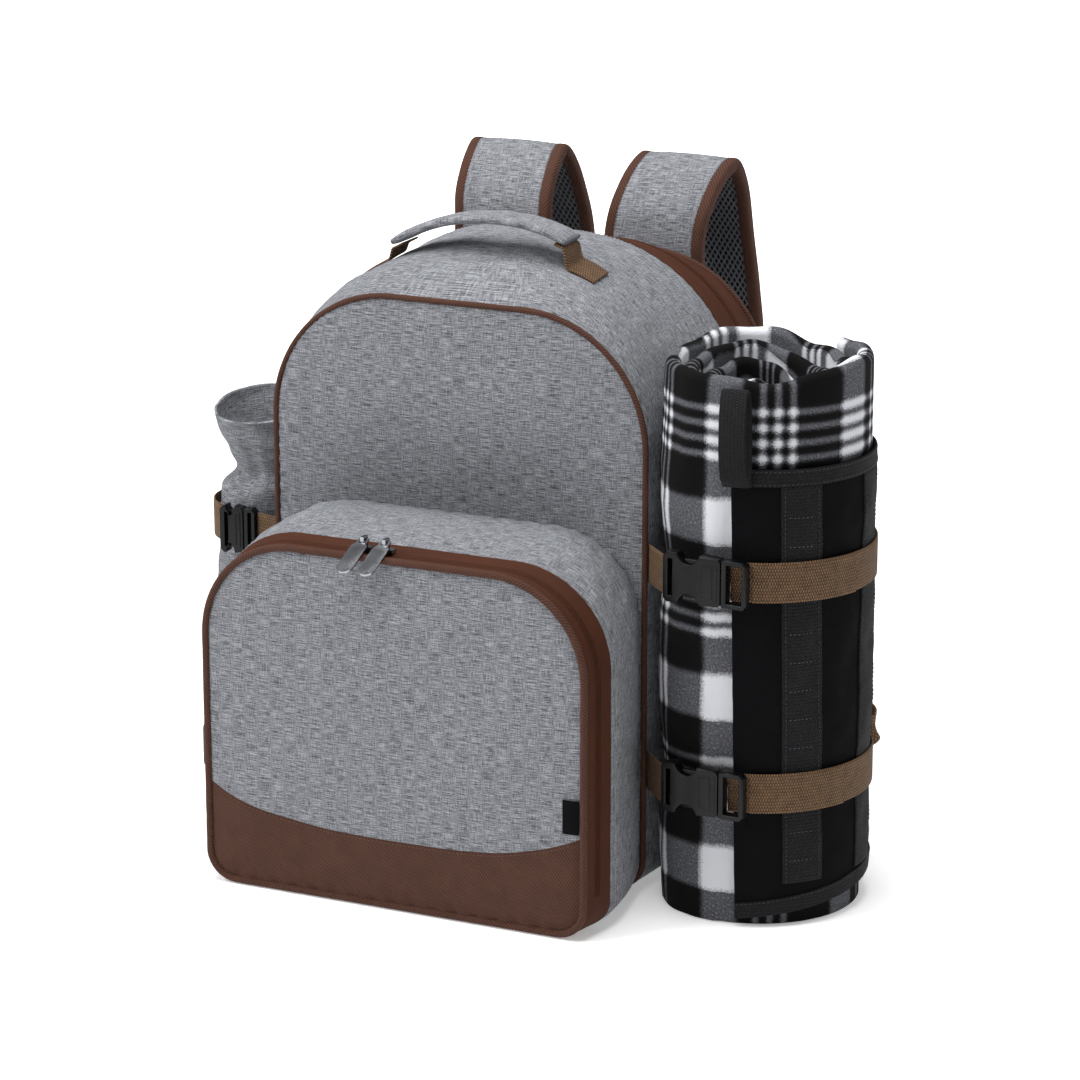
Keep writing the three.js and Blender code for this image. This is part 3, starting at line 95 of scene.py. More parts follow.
# Lower webbing of a shoulder strap: reach, set-back, height and turn from level
SLING_ROWS = np.array([
    [0.440, 0.340, 0.212, 40],
    [0.580, 0.280, 0.198, 68],
    [0.730, 0.190, 0.190, 84],
    [0.880, 0.070, 0.183, 90],
    [0.965, -0.040, 0.178, 90],
    [0.985, -0.120, 0.168, 90],
    [0.940, -0.165, 0.155, 90],
    [0.840, -0.140, 0.135, 90],
    [0.740, -0.080, 0.110, 90],
    [0.685, -0.010, 0.092, 90],
    [0.640, 0.032, 0.084, 90],
    [0.600, 0.031, 0.080, 90],
])
SLING_REACH = 270.0

# Bottle holder: height, girth, tilt of its rim and depth of its pleats
HOLDER_ROWS = np.array([
    [0.000, 1.00, 0.0, 0.00],
    [0.050, 1.20, 0.0, 0.00],
    [0.170, 1.22, 0.0, 0.00],
    [0.360, 1.13, 0.0, 0.00],
    [0.600, 1.05, 0.0, 0.00],
    [0.740, 1.05, 0.0, 0.01],
    [0.795, 0.99, 0.0, 0.04],
    [0.835, 0.82, 0.0, 0.10],
    [0.870, 0.88, 0.1, 0.08],
    [0.920, 1.02, 0.5, 0.04],
    [0.980, 1.09, 1.0, 0.02],
])

# Webbing loop on the flap: height above its foot and how far it stands out
LOOP_ROWS = np.array([
    [0.00, 0.00],
    [0.25, 0.01],
    [0.60, 0.04],
    [0.88, 0.20],
    [1.00, 0.46],
    [0.93, 0.72],
    [0.70, 0.87],
    [0.40, 0.87],
    [0.15, 0.65],
    [0.03, 0.32],
])

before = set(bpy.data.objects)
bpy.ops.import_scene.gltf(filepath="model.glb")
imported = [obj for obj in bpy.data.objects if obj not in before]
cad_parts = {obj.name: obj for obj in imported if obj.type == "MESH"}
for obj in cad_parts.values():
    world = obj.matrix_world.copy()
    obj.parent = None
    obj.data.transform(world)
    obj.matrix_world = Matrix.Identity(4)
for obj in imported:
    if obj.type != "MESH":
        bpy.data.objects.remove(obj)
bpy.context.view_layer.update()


# Curves and outlines
def hermite(xs, ys, at):
    """A smooth curve through the points of a table."""
    xs = np.asarray(xs, float)
    ys = np.asarray(ys, float)
    at = np.clip(at, xs[0], xs[-1])
    slopes = np.gradient(ys, xs)
    i = np.clip(np.searchsorted(xs, at) - 1, 0, len(xs) - 2)
    h = xs[i + 1] - xs[i]
    t = (at - xs[i]) / h
    start = (2 * t**3 - 3 * t**2 + 1) * ys[i] + (t**3 - 2 * t**2 + t) * h * slopes[i]
    return start + (-2 * t**3 + 3 * t**2) * ys[i + 1] + (t**3 - t**2) * h * slopes[i + 1]


def through(points, per):
    """More points on a smooth curve through the given ones, per of them to each gap."""
    points = np.asarray(points, float)
    steps = np.arange(len(points))
    fine = np.linspace(0, len(points) - 1, (len(points) - 1) * per + 1)
    return np.stack([hermite(steps, points[:, c], fine) for c in range(points.shape[1])], 1)


def unit(v):
    return v / np.maximum(np.linalg.norm(v, axis=-1, keepdims=True), 1e-9)


def lengths(points):
    """Length along a line of points, from its start to each of them."""
    steps = np.linalg.norm(np.diff(points, axis=0), axis=1)
    return np.concatenate([[0], np.cumsum(steps)])


def folds(u, v, size, seed, stretch=1.0):
    """Slow, repeatable waves over a cloth, from -1 to 1, size long and stretched along u."""
    rng = np.random.default_rng(seed)
    total = 0
    for _ in range(9):
        turn = rng.uniform(0, PI)
        rate = 2 * PI / size * rng.uniform(0.6, 1.7)
        total = total + np.sin(rate * (np.cos(turn) * u / stretch + np.sin(turn) * v) + rng.uniform(0, 2 * PI))
    return total / 4.5


def bag_arch(y):
    along = (y - FRONT_Y) / BAG_DEPTH
    width, height, corner = (hermite(BAG_ROWS[:, 0], BAG_ROWS[:, c], along) for c in (1, 2, 3))
    return 155 * width, 0.0, 444 * height, 100 * corner, 22.0


def pocket_arch(y):
    along = (y - POCKET_Y) / POCKET_DEPTH
    width, height, corner = (hermite(POCKET_ROWS[:, 0], POCKET_ROWS[:, c], along) for c in (1, 2, 3))
    return 157 * width, 1.5, 273 * height, 75 * corner, 22.0


def inset(arch, by, lift=0.0):
    half, bottom, top, corner, foot = arch
    return half - by, bottom + by + lift, top - by, corner - by, foot - by


def outline(arch):
    """A closed arch from the middle of its foot, anticlockwise: points and outward normals."""
    half, bottom, top, corner, foot = arch
    corner = min(corner, half - 1)
    reach, foot_reach = half - corner, half - foot
    points, normals = [], []

    def line(x0, z0, x1, z1, nx, nz, count):
        for t in np.arange(count) / count:
            points.append((x0 + (x1 - x0) * t, z0 + (z1 - z0) * t))
            normals.append((nx, nz))

    def arc(cx, cz, radius, start, end, count):
        for angle in np.radians(start + (end - start) * np.arange(count) / count):
            points.append((cx + radius * math.cos(angle), cz + radius * math.sin(angle)))
            normals.append((math.cos(angle), math.sin(angle)))

    line(0, bottom, foot_reach, bottom, 0, -1, 16)
    arc(foot_reach, bottom + foot, foot, -90, 0, 10)
    line(half, bottom + foot, half, top - corner, 1, 0, 60)
    arc(reach, top - corner, corner, 0, 90, 46)
    line(reach, top, -reach, top, 0, 1, 30)
    arc(-reach, top - corner, corner, 90, 180, 46)
    line(-half, top - corner, -half, bottom + foot, -1, 0, 60)
    arc(-foot_reach, bottom + foot, foot, 180, 270, 10)
    line(-foot_reach, bottom, 0, bottom, 0, -1, 16)
    points.append(points[0])
    normals.append(normals[0])
    return np.array(points), np.array(normals)


def side_at(arch_at, y):
    return arch_at(y)[0]


def top_at(x, arch):
    """Height of an arch above x."""
    half, _, top, corner, _ = arch
    over = np.clip((np.abs(x) - (half - corner)) / corner, 0, 1)
    return top - corner * (1 - np.sqrt(1 - over**2))


def foot_at(x, arch):
    """Height of an arch's lower edge at x."""
    half, bottom, _, _, foot = arch
    over = np.clip((np.abs(x) - (half - foot)) / foot, 0, 1)
    return bottom + foot * (1 - np.sqrt(1 - over**2))


# Meshes
def grid_faces(rows, cols, offset=0):
    a = (np.arange(rows - 1)[:, None] * cols + np.arange(cols - 1)[None, :]).ravel() + offset
    return np.stack([a, a + 1, a + cols + 1, a + cols], 1)


def make(name, points, faces, uvs, material, body="bag", replaces=(), slot=None, smooth=True):
    """A mesh object from points in mm, with its texture coordinates in mm of cloth."""
    mesh = bpy.data.meshes.new(name)
    mesh.from_pydata((np.asarray(points, float).reshape(-1, 3) * MM).tolist(), [], np.asarray(faces).tolist())
    layer = mesh.uv_layers.new(name="cloth")
    index = np.zeros(len(mesh.loops), int)
    mesh.loops.foreach_get("vertex_index", index)
    layer.data.foreach_set("uv", np.asarray(uvs, float).reshape(-1, 2)[index].ravel())
    mesh.polygons.foreach_set("use_smooth", [smooth] * len(mesh.polygons))
    mesh.validate()
    obj = bpy.data.objects.new(name, mesh)
    bpy.context.scene.collection.objects.link(obj)
    obj.data.materials.append(material)
    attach(obj, body)
    if replaces:
        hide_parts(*replaces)
    return obj


def surface(name, grid, uvs, material, flip=False, **where):
    """One grid of points as a smooth skin."""
    rows, cols = grid.shape[:2]
    faces = grid_faces(rows, cols)
    if flip:
        faces = faces[:, ::-1]
    return make(name, grid, faces, uvs, material, **where)


def facing(grid, outward):
    """True if the grid's own winding faces the given way at its middle."""
    r, c = grid.shape[0] // 2, grid.shape[1] // 2
    a = grid[r, c + 1] - grid[r, c]
    b = grid[min(r + 1, grid.shape[0] - 1), c] - grid[r, c]
    return float(np.dot(np.cross(a, b), outward)) > 0


def grid_normals(grid):
    du = np.gradient(grid, axis=1)
    dv = np.gradient(grid, axis=0)
    return unit(np.cross(du, dv))


def thicken(name, grid, uvs, thickness, material, **where):
    """A cloth of real thickness: its face is the grid, its back lies thickness behind the face."""
    rows, cols = grid.shape[:2]
    normals = grid_normals(grid)
    back = grid - normals * thickness
    count = rows * cols
    faces = [grid_faces(rows, cols), grid_faces(rows, cols, count)[:, ::-1]]
    top = np.arange(cols)
    low = top + (rows - 1) * cols
    left = np.arange(rows) * cols
    right = left + cols - 1
    for edge, turned in ((top, True), (low, False), (left, False), (right, True)):
        quads = np.stack([edge[:-1], edge[:-1] + count, edge[1:] + count, edge[1:]], 1)
        faces.append(quads if turned else quads[:, ::-1])
    both = np.concatenate([grid.reshape(-1, 3), back.reshape(-1, 3)])
    coords = np.concatenate([np.asarray(uvs).reshape(-1, 2)] * 2)
    return make(name, both, np.concatenate(faces)[:, ::-1], coords, material, **where)


def tube(name, path, out, side, radius, material, sides=10, texture=1.0, **where):
    """Round piping along a path; out and side span its section at each point."""
    angle = np.linspace(0, 2 * PI, sides + 1)
    ring = np.cos(angle)[None, :, None] * out[:, None, :] + np.sin(angle)[None, :, None] * side[:, None, :]
    grid = path[:, None, :] + ring * np.asarray(radius).reshape(-1, 1, 1)
    s = lengths(path)
    uvs = np.stack(np.broadcast_arrays(s[:, None], angle[None, :] * np.mean(radius) * texture), -1)
    middle = len(path) // 2
    outward = grid[middle, sides // 2] - path[middle]
    return surface(name, grid, uvs, material, flip=not facing(grid, outward), **where)


SECTION = np.array([
    # across in half widths, up in half thicknesses
    [0.0, 1.0], [0.5, 1.0], [0.86, 1.0], [0.97, 0.8], [1.0, 0.0], [0.97, -0.8], [0.86, -1.0], [0.5, -1.0],
    [0.0, -1.0], [-0.5, -1.0], [-0.86, -1.0], [-0.97, -0.8], [-1.0, 0.0], [-0.97, 0.8], [-0.86, 1.0],
    [-0.5, 1.0], [0.0, 1.0],
])


def ribbon(name, path, across, normal, width, thickness, material, per_end=1, **where):
    """Flat webbing along a path, soft at its edges and closed at its ends."""
    half = np.broadcast_to(np.asarray(width, float) / 2, len(path))[:, None, None]
    deep = thickness / 2
    grid = (path[:, None, :] + across[:, None, :] * SECTION[None, :, :1] * half
            + normal[:, None, :] * SECTION[None, :, 1:] * deep)
    s = lengths(path)
    v = SECTION[:, 0] * half[0, 0, 0]
    uvs = np.stack(np.broadcast_arrays(s[:, None], v[None, :]), -1)
    rows, cols = grid.shape[:2]
    faces = grid_faces(rows, cols).tolist()
    faces.append(list(range(cols - 1)))
    faces.append([(rows - 1) * cols + c for c in range(cols - 2, -1, -1)])
    obj = make(name, grid, np.array(faces, dtype=object), uvs, material, **where)
    mesh = bmesh.new()
    mesh.from_mesh(obj.data)
    bmesh.ops.remove_doubles(mesh, verts=mesh.verts, dist=1e-6)
    bmesh.ops.recalc_face_normals(mesh, faces=mesh.faces)
    mesh.to_mesh(obj.data)
    mesh.free()
    return obj


def plate(name, shape, thickness, bevel, material, holes=(), **where):
    """A flat plate cut to a shape in its own x, z plane, with rounded edges; placed later."""
    mesh = bmesh.new()
    outer = [mesh.verts.new((x * MM, thickness / 2 * MM, z * MM)) for x, z in shape]
    edges = [mesh.edges.new((outer[i], outer[(i + 1) % len(outer)])) for i in range(len(outer))]
    for hole in holes:
        inner = [mesh.verts.new((x * MM, thickness / 2 * MM, z * MM)) for x, z in hole]
        edges += [mesh.edges.new((inner[i], inner[(i + 1) % len(inner)])) for i in range(len(inner))]
    made = bmesh.ops.triangle_fill(mesh, edges=edges, use_beauty=True, use_dissolve=False)
    flat = [f for f in made["geom"] if isinstance(f, bmesh.types.BMFace)]
    grown = bmesh.ops.extrude_face_region(mesh, geom=flat)
    moved = [v for v in grown["geom"] if isinstance(v, bmesh.types.BMVert)]
    bmesh.ops.translate(mesh, verts=moved, vec=(0, -thickness * MM, 0))
    bmesh.ops.recalc_face_normals(mesh, faces=mesh.faces)
    rims = [e for e in mesh.edges if len(e.link_faces) == 2 and e.calc_face_angle(0) > 0.9
            and abs(e.verts[0].co.y - e.verts[1].co.y) < 1e-7]
    bmesh.ops.bevel(mesh, geom=rims, offset=bevel * MM, segments=3, affect="EDGES", profile=0.6, clamp_overlap=True)
    data = bpy.data.meshes.new(name)
    mesh.to_mesh(data)
    mesh.free()
    return data


def joined(name, parts, matrix, material, body="bag", replaces=()):
    """Several plates as one object at a place, shaded smooth between sharp edges."""
    whole = bmesh.new()
    for data in parts:
        whole.from_mesh(data)
    data = bpy.data.meshes.new(name)
    whole.to_mesh(data)
    whole.free()
    data.transform(matrix)
    obj = bpy.data.objects.new(name, data)
    bpy.context.scene.collection.objects.link(obj)
    data.materials.append(material)
    data.shade_smooth()
    data.set_sharp_from_angle(angle=math.radians(32))
    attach(obj, body)
    if replaces:
        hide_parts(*replaces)
    return obj


def stitches(name, lines, material, body="bag", length=2.5, gap=0.9, radius=0.34):
    """Rows of thread: each stitch a small spindle that dips into the cloth at both ends."""
    verts, faces, uvs = [], [], []
    ring = np.linspace(0, 2 * PI, 5)[:-1]
    profile = np.array([[-0.5, 0.35, -0.9], [-0.25, 0.95, 0.1], [0.25, 0.95, 0.1], [0.5, 0.35, -0.9]])
    for points, normals in lines:
        s = lengths(points)
        count = int(s[-1] / (length + gap))
        for k in range(count):
            at = (k + 0.5) * (length + gap)
            middle = np.array([np.interp(at, s, points[:, c]) for c in range(3)])
            ahead = np.array([np.interp(at + 0.4, s, points[:, c]) for c in range(3)])
            up = unit(np.array([np.interp(at, s, normals[:, c]) for c in range(3)]))
            run = unit(ahead - middle)
            side = np.cross(run, up)
            base = len(verts)
            for along, thick, rise in profile:
                centre = middle + run * along * length + up * (rise + 0.4) * radius
                for angle in ring:
                    verts.append(centre + (side * math.cos(angle) + up * math.sin(angle)) * radius * thick)
                    uvs.append((along * length, angle))
            for r in range(3):
                for c in range(4):
                    d = (c + 1) % 4
                    faces.append([base + r * 4 + c, base + r * 4 + d, base + r * 4 + 4 + d, base + r * 4 + 4 + c])
    return make(name, np.array(verts), np.array(faces), np.array(uvs), material, body=body)


# Node materials
class Look:
    """A node material under construction, with short helpers for its maths."""

    def __init__(self, name, roughness, metallic=0.0, sheen=0.0, coat=0.0):
        self.material = bpy.data.materials.new(name)
        self.material.use_nodes = True
        self.tree = self.material.node_tree
        self.surface = self.tree.nodes["Principled BSDF"]
        self.surface.inputs["Roughness"].default_value = roughness
        self.surface.inputs["Metallic"].default_value = metallic
        self.surface.inputs["Sheen Weight"].default_value = sheen
        self.surface.inputs["Sheen Roughness"].default_value = 0.5
        self.surface.inputs["Coat Weight"].default_value = coat
        self.surface.inputs["Specular IOR Level"].default_value = 0.2
        uv = self.add("ShaderNodeTexCoord")
        self.uv = uv.outputs["UV"]
        self.place = uv.outputs["Object"]
        split = self.add("ShaderNodeSeparateXYZ")
        self.join(self.uv, split.inputs[0])
        self.u, self.v = split.outputs["X"], split.outputs["Y"]

    def add(self, kind, **options):
        node = self.tree.nodes.new(kind)
        for key, value in options.items():
            setattr(node, key, value)
        return node

    def join(self, source, socket):
        self.tree.links.new(source, socket)

    def put(self, value, socket):
        if isinstance(value, bpy.types.NodeSocket):
            self.join(value, socket)
        else:
            socket.default_value = value

    def math(self, kind, a, b=0.0, c=0.0, clamp=False):
        node = self.add("ShaderNodeMath", operation=kind, use_clamp=clamp)
        for value, socket in zip((a, b, c), node.inputs):
            self.put(value, socket)
        return node.outputs[0]

    def wave(self, along, period, phase=0.0):
        """A sine from 0 to 1 along a coordinate."""
        turned = self.math("MULTIPLY_ADD", along, 2 * PI / period, phase)
        return self.math("MULTIPLY_ADD", self.math("SINE", turned), 0.5, 0.5)

    def noise(self, scale, stretch=(1, 1, 1), detail=2.0, roughness=0.5, source=None):
        mapping = self.add("ShaderNodeMapping")
        self.join(source or self.uv, mapping.inputs["Vector"])
        mapping.inputs["Scale"].default_value = stretch
        node = self.add("ShaderNodeTexNoise")
        self.join(mapping.outputs[0], node.inputs["Vector"])
        node.inputs["Scale"].default_value = scale
        node.inputs["Detail"].default_value = detail
        node.inputs["Roughness"].default_value = roughness
        return node.outputs[0]

    def range(self, value, low, high, to_low=0.0, to_high=1.0):
        node = self.add("ShaderNodeMapRange")
        for put, socket in zip((value, low, high, to_low, to_high), node.inputs):
            self.put(put, socket)
        return node.outputs[0]

    def mix(self, factor, first, second, kind="MIX"):
        node = self.add("ShaderNodeMix", data_type="RGBA", blend_type=kind)
        self.put(factor, node.inputs[0])
        self.put(first, node.inputs[6])
        self.put(second, node.inputs[7])
        return node.outputs[2]

    def ramp(self, value, stops):
        node = self.add("ShaderNodeValToRGB")
        self.join(value, node.inputs[0])
        ramp = node.color_ramp
        while len(ramp.elements) < len(stops):
            ramp.elements.new(0.5)
        for element, (at, colour) in zip(ramp.elements, stops):
            element.position = at
            element.color = colour
        return node.outputs[0]

    def colour(self, value):
        self.put(value, self.surface.inputs["Base Color"])

    def bump(self, height, depth, strength=1.0):
        """Relief whose height socket runs 0 to 1, depth metres deep."""
        node = self.add("ShaderNodeBump")
        node.inputs["Strength"].default_value = strength
        node.inputs["Distance"].default_value = depth
        self.join(height, node.inputs["Height"])
        self.join(node.outputs[0], self.surface.inputs["Normal"])


def rgb(code):
    """Linear colour of an sRGB hex code."""
    parts = [((code >> shift) & 255) / 255 for shift in (16, 8, 0)]
    return tuple(p / 12.92 if p <= 0.04045 else ((p + 0.055) / 1.055) ** 2.4 for p in parts) + (1.0,)


def melange(name, dark, middle, light, weave=0.62):
    """Plain-woven cloth of uneven light and dark yarns, streaky along its weft."""
    look = Look(name, 0.9, sheen=0.03)
    streak = look.noise(1.0, (0.09, 1.9, 1), 2, 0.6)
    warp = look.noise(1.0, (1.7, 0.11, 1), 2, 0.6)
    fleck = look.noise(1.3, (0.5, 1, 1), 2, 0.6)
    value = look.math("MULTIPLY_ADD", streak, 0.66, look.math("MULTIPLY", warp, 0.32))
    value = look.math("MULTIPLY_ADD", fleck, 0.24, value)
    value = look.range(value, 0.46, 0.74)
    base = look.ramp(value, [(0.0, dark), (0.42, middle), (1.0, light)])
    over = look.wave(look.u, weave)
    under = look.wave(look.v, weave)
    grain = look.math("ABSOLUTE", look.math("SUBTRACT", over, under))
    shade = look.math("MULTIPLY_ADD", grain, 0.22, 0.86)
    look.colour(look.mix(1.0, base, shade, "MULTIPLY"))
    look.bump(look.math("MULTIPLY_ADD", streak, 0.6, grain), 0.00035, 0.6)
    return look.material


def twill(name, base, ridge, period=2.1, lift=0.0004, sheen=0.02, flat=0.75, shine=0.4):
    """Cloth with slanting ridges, coloured lighter along them as painted highlight."""
    look = Look(name, 0.82, sheen=sheen)
    look.surface.inputs["Specular IOR Level"].default_value = shine
    slant = look.math("ADD", look.u, look.math("MULTIPLY", look.v, flat))
    ribs = look.wave(slant, period)
    yarn = look.wave(look.math("SUBTRACT", look.u, look.v), period * 0.45)
    height = look.math("MULTIPLY_ADD", yarn, 0.35, look.math("MULTIPLY", ribs, 0.8))
    cloudy = look.noise(0.05, (1, 1, 1), 3, 0.6)
    # painted highlight: the colour runs from base towards the lighter ridge colour with the ridge height, plus cloudy
    # tone
    tone = look.math("MULTIPLY_ADD", cloudy, 0.4, look.math("MULTIPLY", height, 0.65))
    look.colour(look.mix(tone, base, ridge))
    look.bump(height, lift, 0.7)
    return look.material


def ribbed(name, dark, light, rib=2.2, row=1.5, depth=0.0005, roughness=0.75, sheen=0.02, shine=0.35):
    """Webbing: ribs across it, broken into rows of small loops along it, painted lighter on the loops as highlight and
    darker between them as shade.
    """
    look = Look(name, roughness, sheen=sheen)
    look.surface.inputs["Specular IOR Level"].default_value = shine
    shifted = look.math("MULTIPLY_ADD", look.math("ROUND", look.math("DIVIDE", look.v, rib)), row / 2, look.u)
    loops = look.math("POWER", look.wave(shifted, row), 0.7)
    columns = look.math("POWER", look.wave(look.v, rib), 0.6)
    height = look.math("MULTIPLY", loops, look.math("MULTIPLY_ADD", columns, 0.7, 0.3))
    wear = look.noise(0.12, (1, 1, 1), 3, 0.6)
    # painted light: tone follows the loops' height, painted highlight on them and painted shade between them, with
    # noise for wear
    tone = look.math("MULTIPLY_ADD", height, 0.75, look.math("MULTIPLY_ADD", wear, 0.5, -0.12), clamp=True)
    look.colour(look.mix(tone, dark, light))
    look.bump(height, depth, 0.9)
    return look.material


def zip_cloth():
    look = Look("zip_tape", 0.8, sheen=0.0)
    look.surface.inputs["Specular IOR Level"].default_value = 0.2
    ribs = look.wave(look.v, 0.9)
    cross = look.wave(look.u, 0.8)
    height = look.math("MULTIPLY_ADD", cross, 0.4, ribs)
    cloudy = look.noise(0.08, (0.4, 1, 1), 2, 0.5)
    # painted highlight: the tape is lighter on its ribs, over cloudy tone
    tone = look.math("MULTIPLY_ADD", cloudy, 0.5, look.math("MULTIPLY", height, 0.35))
    look.colour(look.mix(tone, rgb(0x2A1207), rgb(0x4E2814)))
    look.bump(height, 0.00018, 0.5)
    return look.material


def plastic():
    look = Look("black_plastic", 0.32)
    grain = look.noise(900.0, (1, 1, 1), 3, 0.6, look.place)
    dust = look.noise(60.0, (1, 1, 1), 4, 0.7, look.place)
    look.colour(look.mix(look.range(dust, 0.5, 0.8), rgb(0x040405), rgb(0x0B0B0C)))
    look.put(look.range(dust, 0.3, 0.8, 0.24, 0.42), look.surface.inputs["Roughness"])
    look.surface.inputs["Specular IOR Level"].default_value = 0.22
    look.bump(grain, 0.00006, 0.5)
    return look.material


def gunmetal():
    look = Look("satin_metal", 0.24, metallic=1.0)
    smear = look.noise(90.0, (1, 0.3, 1), 3, 0.6, look.place)
    look.colour(look.mix(smear, rgb(0x77797E), rgb(0xAFB1B5)))
    look.put(look.range(smear, 0.3, 0.8, 0.16, 0.32), look.surface.inputs["Roughness"])
    look.bump(smear, 0.00003, 0.3)
    return look.material


def mesh_cloth():
    """Spacer mesh: a net of diamond holes over a dark layer."""
    look = Look("spacer_mesh", 0.55, sheen=0.03)
    one = look.wave(look.math("ADD", look.u, look.math("MULTIPLY", look.v, 0.62)), 4.6)
    two = look.wave(look.math("SUBTRACT", look.u, look.math("MULTIPLY", look.v, 0.62)), 4.6)
    net = look.math("MAXIMUM", one, two)
    cord = look.range(net, 0.62, 0.9)
    look.colour(look.mix(cord, rgb(0x0A0A0B), rgb(0x66696E)))
    look.bump(cord, 0.0009, 1.0)
    return look.material


def band(look, along, low, high, soft, fuzz):
    """1 between two places along a coordinate, with fuzzy edges."""
    shaken = look.math("ADD", along, fuzz)
    rise = look.range(shaken, low - soft, low + soft)
    fall = look.range(shaken, high - soft, high + soft, 1.0, 0.0)
    return look.math("MULTIPLY", rise, fall)


def any_of(look, parts):
    total = parts[0]
    for part in parts[1:]:
        total = look.math("MAXIMUM", total, part)
    return total


def plaid():
    """Buffalo plaid fleece: broad light bands and sets of thin stripes, both ways, with a brushed pile."""
    look = Look("fleece", 1.0, sheen=0.01)
    look.surface.inputs["Specular IOR Level"].default_value = 0.1
    look.surface.inputs["Sheen Roughness"].default_value = 0.8
    pile = look.noise(0.55, (1, 1, 1), 4, 0.7)
    tuft = look.noise(0.9, (1, 1, 1), 3, 0.7)
    fuzz = look.math("MULTIPLY_ADD", tuft, 5.0, -2.5)
    across = look.math("MULTIPLY", look.math("FRACT", look.math("DIVIDE", look.u, 107.0)), 107.0)
    warp = [band(look, across, 2, 32, 3.2, fuzz)]
    warp += [band(look, across, at - 3, at + 3, 2.0, fuzz) for at in (46.0, 57.0, 68.0)]
    raised = look.math("SUBTRACT", look.v, 23.0)
    up = look.math("MULTIPLY", look.math("FRACT", look.math("DIVIDE", raised, 134.0)), 134.0)
    weft = [band(look, up, 0.5, 36, 3.2, fuzz)]
    weft += [band(look, up, at - 3, at + 3, 2.0, fuzz) for at in (68.5, 80.0, 91.5, 103.0)]
    light_warp, light_weft = any_of(look, warp), any_of(look, weft)
    both = look.math("MULTIPLY_ADD", light_warp, 0.5, look.math("MULTIPLY", light_weft, 0.5))
    mottled = look.math("MULTIPLY_ADD", pile, 0.5, look.math("MULTIPLY_ADD", tuft, 0.35, -0.42))
    grey = look.math("MULTIPLY", mottled, look.math("MULTIPLY", both, look.math("SUBTRACT", 1.25, both)))
    value = look.math("ADD", both, look.math("MULTIPLY", grey, 3.4), clamp=True)
    tones = ((0.0, 0x040405), (0.22, 0x0E0E10), (0.55, 0x58595E), (0.95, 0xD4D5DA))
    colour = look.ramp(value, [(at, rgb(tone)) for at, tone in tones])
    look.colour(colour)
    fine = look.noise(1.6, (1, 1, 1), 3, 0.7)
    look.bump(look.math("MULTIPLY_ADD", pile, 0.7, look.math("MULTIPLY", fine, 0.5)), 0.0016, 0.7)
    return look.material


def thread(name, colour):
    look = Look(name, 0.6, sheen=0.2)
    twist = look.wave(look.math("ADD", look.u, look.math("MULTIPLY", look.v, 0.2)), 0.5)
    # painted shade: the thread is darker in the grooves of its twist
    look.colour(look.mix(twist, tuple(c * 0.7 for c in colour[:3]) + (1,), colour))
    look.bump(twist, 0.0001, 0.5)
    return look.material


def floor_look():
    look = Look("floor", 0.9)
    look.surface.inputs["Emission Color"].default_value = (1, 1, 1, 1)
    look.surface.inputs["Emission Strength"].default_value = 0.3
    cloudy = look.noise(3.0, (1, 1, 1), 2, 0.5, look.place)
    look.colour(look.mix(cloudy, (0.93, 0.93, 0.935, 1), (0.95, 0.95, 0.955, 1)))
    return look.material


GREY = melange("grey_cloth", rgb(0x2E3033), rgb(0x6C6E73), rgb(0xA9ABB0))
# the lighter second colour of a twill is painted highlight on its ridges
BROWN = twill("brown_cloth", rgb(0x1D0F0A), rgb(0x5A3A2D), period=2.6, lift=0.0006, shine=0.2)
ZIP = zip_cloth()
# for webbing the dark colour is painted shade between the loops and the light colour painted highlight on them
KHAKI = ribbed("khaki_webbing", rgb(0x0D0805), rgb(0x8A6A4C), rib=2.4, row=2.0, depth=0.0009, shine=0.2)
BLACK_WEB = ribbed("black_webbing", rgb(0x020203), rgb(0x1A1A1D), rib=2.6, row=1.9, depth=0.0008,
                   sheen=0.0, shine=0.2)
# the lighter second colour is painted highlight on the ridges
BLACK = twill("black_cloth", rgb(0x030304), rgb(0x101012), period=1.3, lift=0.0002, sheen=0.0, shine=0.05)
PLASTIC = plastic()
METAL = gunmetal()
FLEECE = plaid()
MESH = mesh_cloth()
GREY_THREAD = thread("grey_thread", rgb(0x95979C))
BROWN_THREAD = thread("brown_thread", rgb(0x54362C))
PALE_THREAD = thread("pale_thread", rgb(0x55555A))
BLACK_THREAD = thread("black_thread", rgb(0x242428))


# Panels and walls of the two compartments
def ring_skin(name, ys, arch_at, material, relief, **where):
    """A wall round an arch from one depth to another; relief lifts it off the arch, in mm."""
    ys = np.asarray(ys, float)
    rows = [outline(arch_at(y)) for y in ys]
    points = np.stack([r[0] for r in rows])
    normals = np.stack([r[1] for r in rows])
    s = lengths(points[len(ys) // 2])
    up = relief(s[None, :] + 0 * ys[:, None], ys[:, None] + 0 * s[None, :], points[:, :, 1])
    on_floor = np.clip((points[:, :, 1] - 2) / 40, 0, 1)
    points = points + normals * (up * on_floor)[:, :, None]
    grid = np.stack([points[:, :, 0], np.broadcast_to(ys[:, None], points.shape[:2]), points[:, :, 1]], -1)
    uvs = np.stack(np.broadcast_arrays(s[None, :], ys[:, None]), -1)
    middle = len(s) // 2
    flip = not facing(grid, np.array([normals[0, middle, 0], 0, normals[0, middle, 1]]))
    return surface(name, grid, uvs, material, flip=flip, **where)


def seam_dip(distance, reach=2.2, depth=1.2):
    return -depth * np.exp(-np.abs(distance) / reach)


def puckers(s, distance, seed, size=16.0, height=0.45, reach=12.0):
    """Small gathers that fade away from a seam."""
    phase = 2 * folds(s, 0 * s, 90, seed)
    return height * np.exp(-np.abs(distance) / reach) * np.sin(2 * PI * s / size + phase)


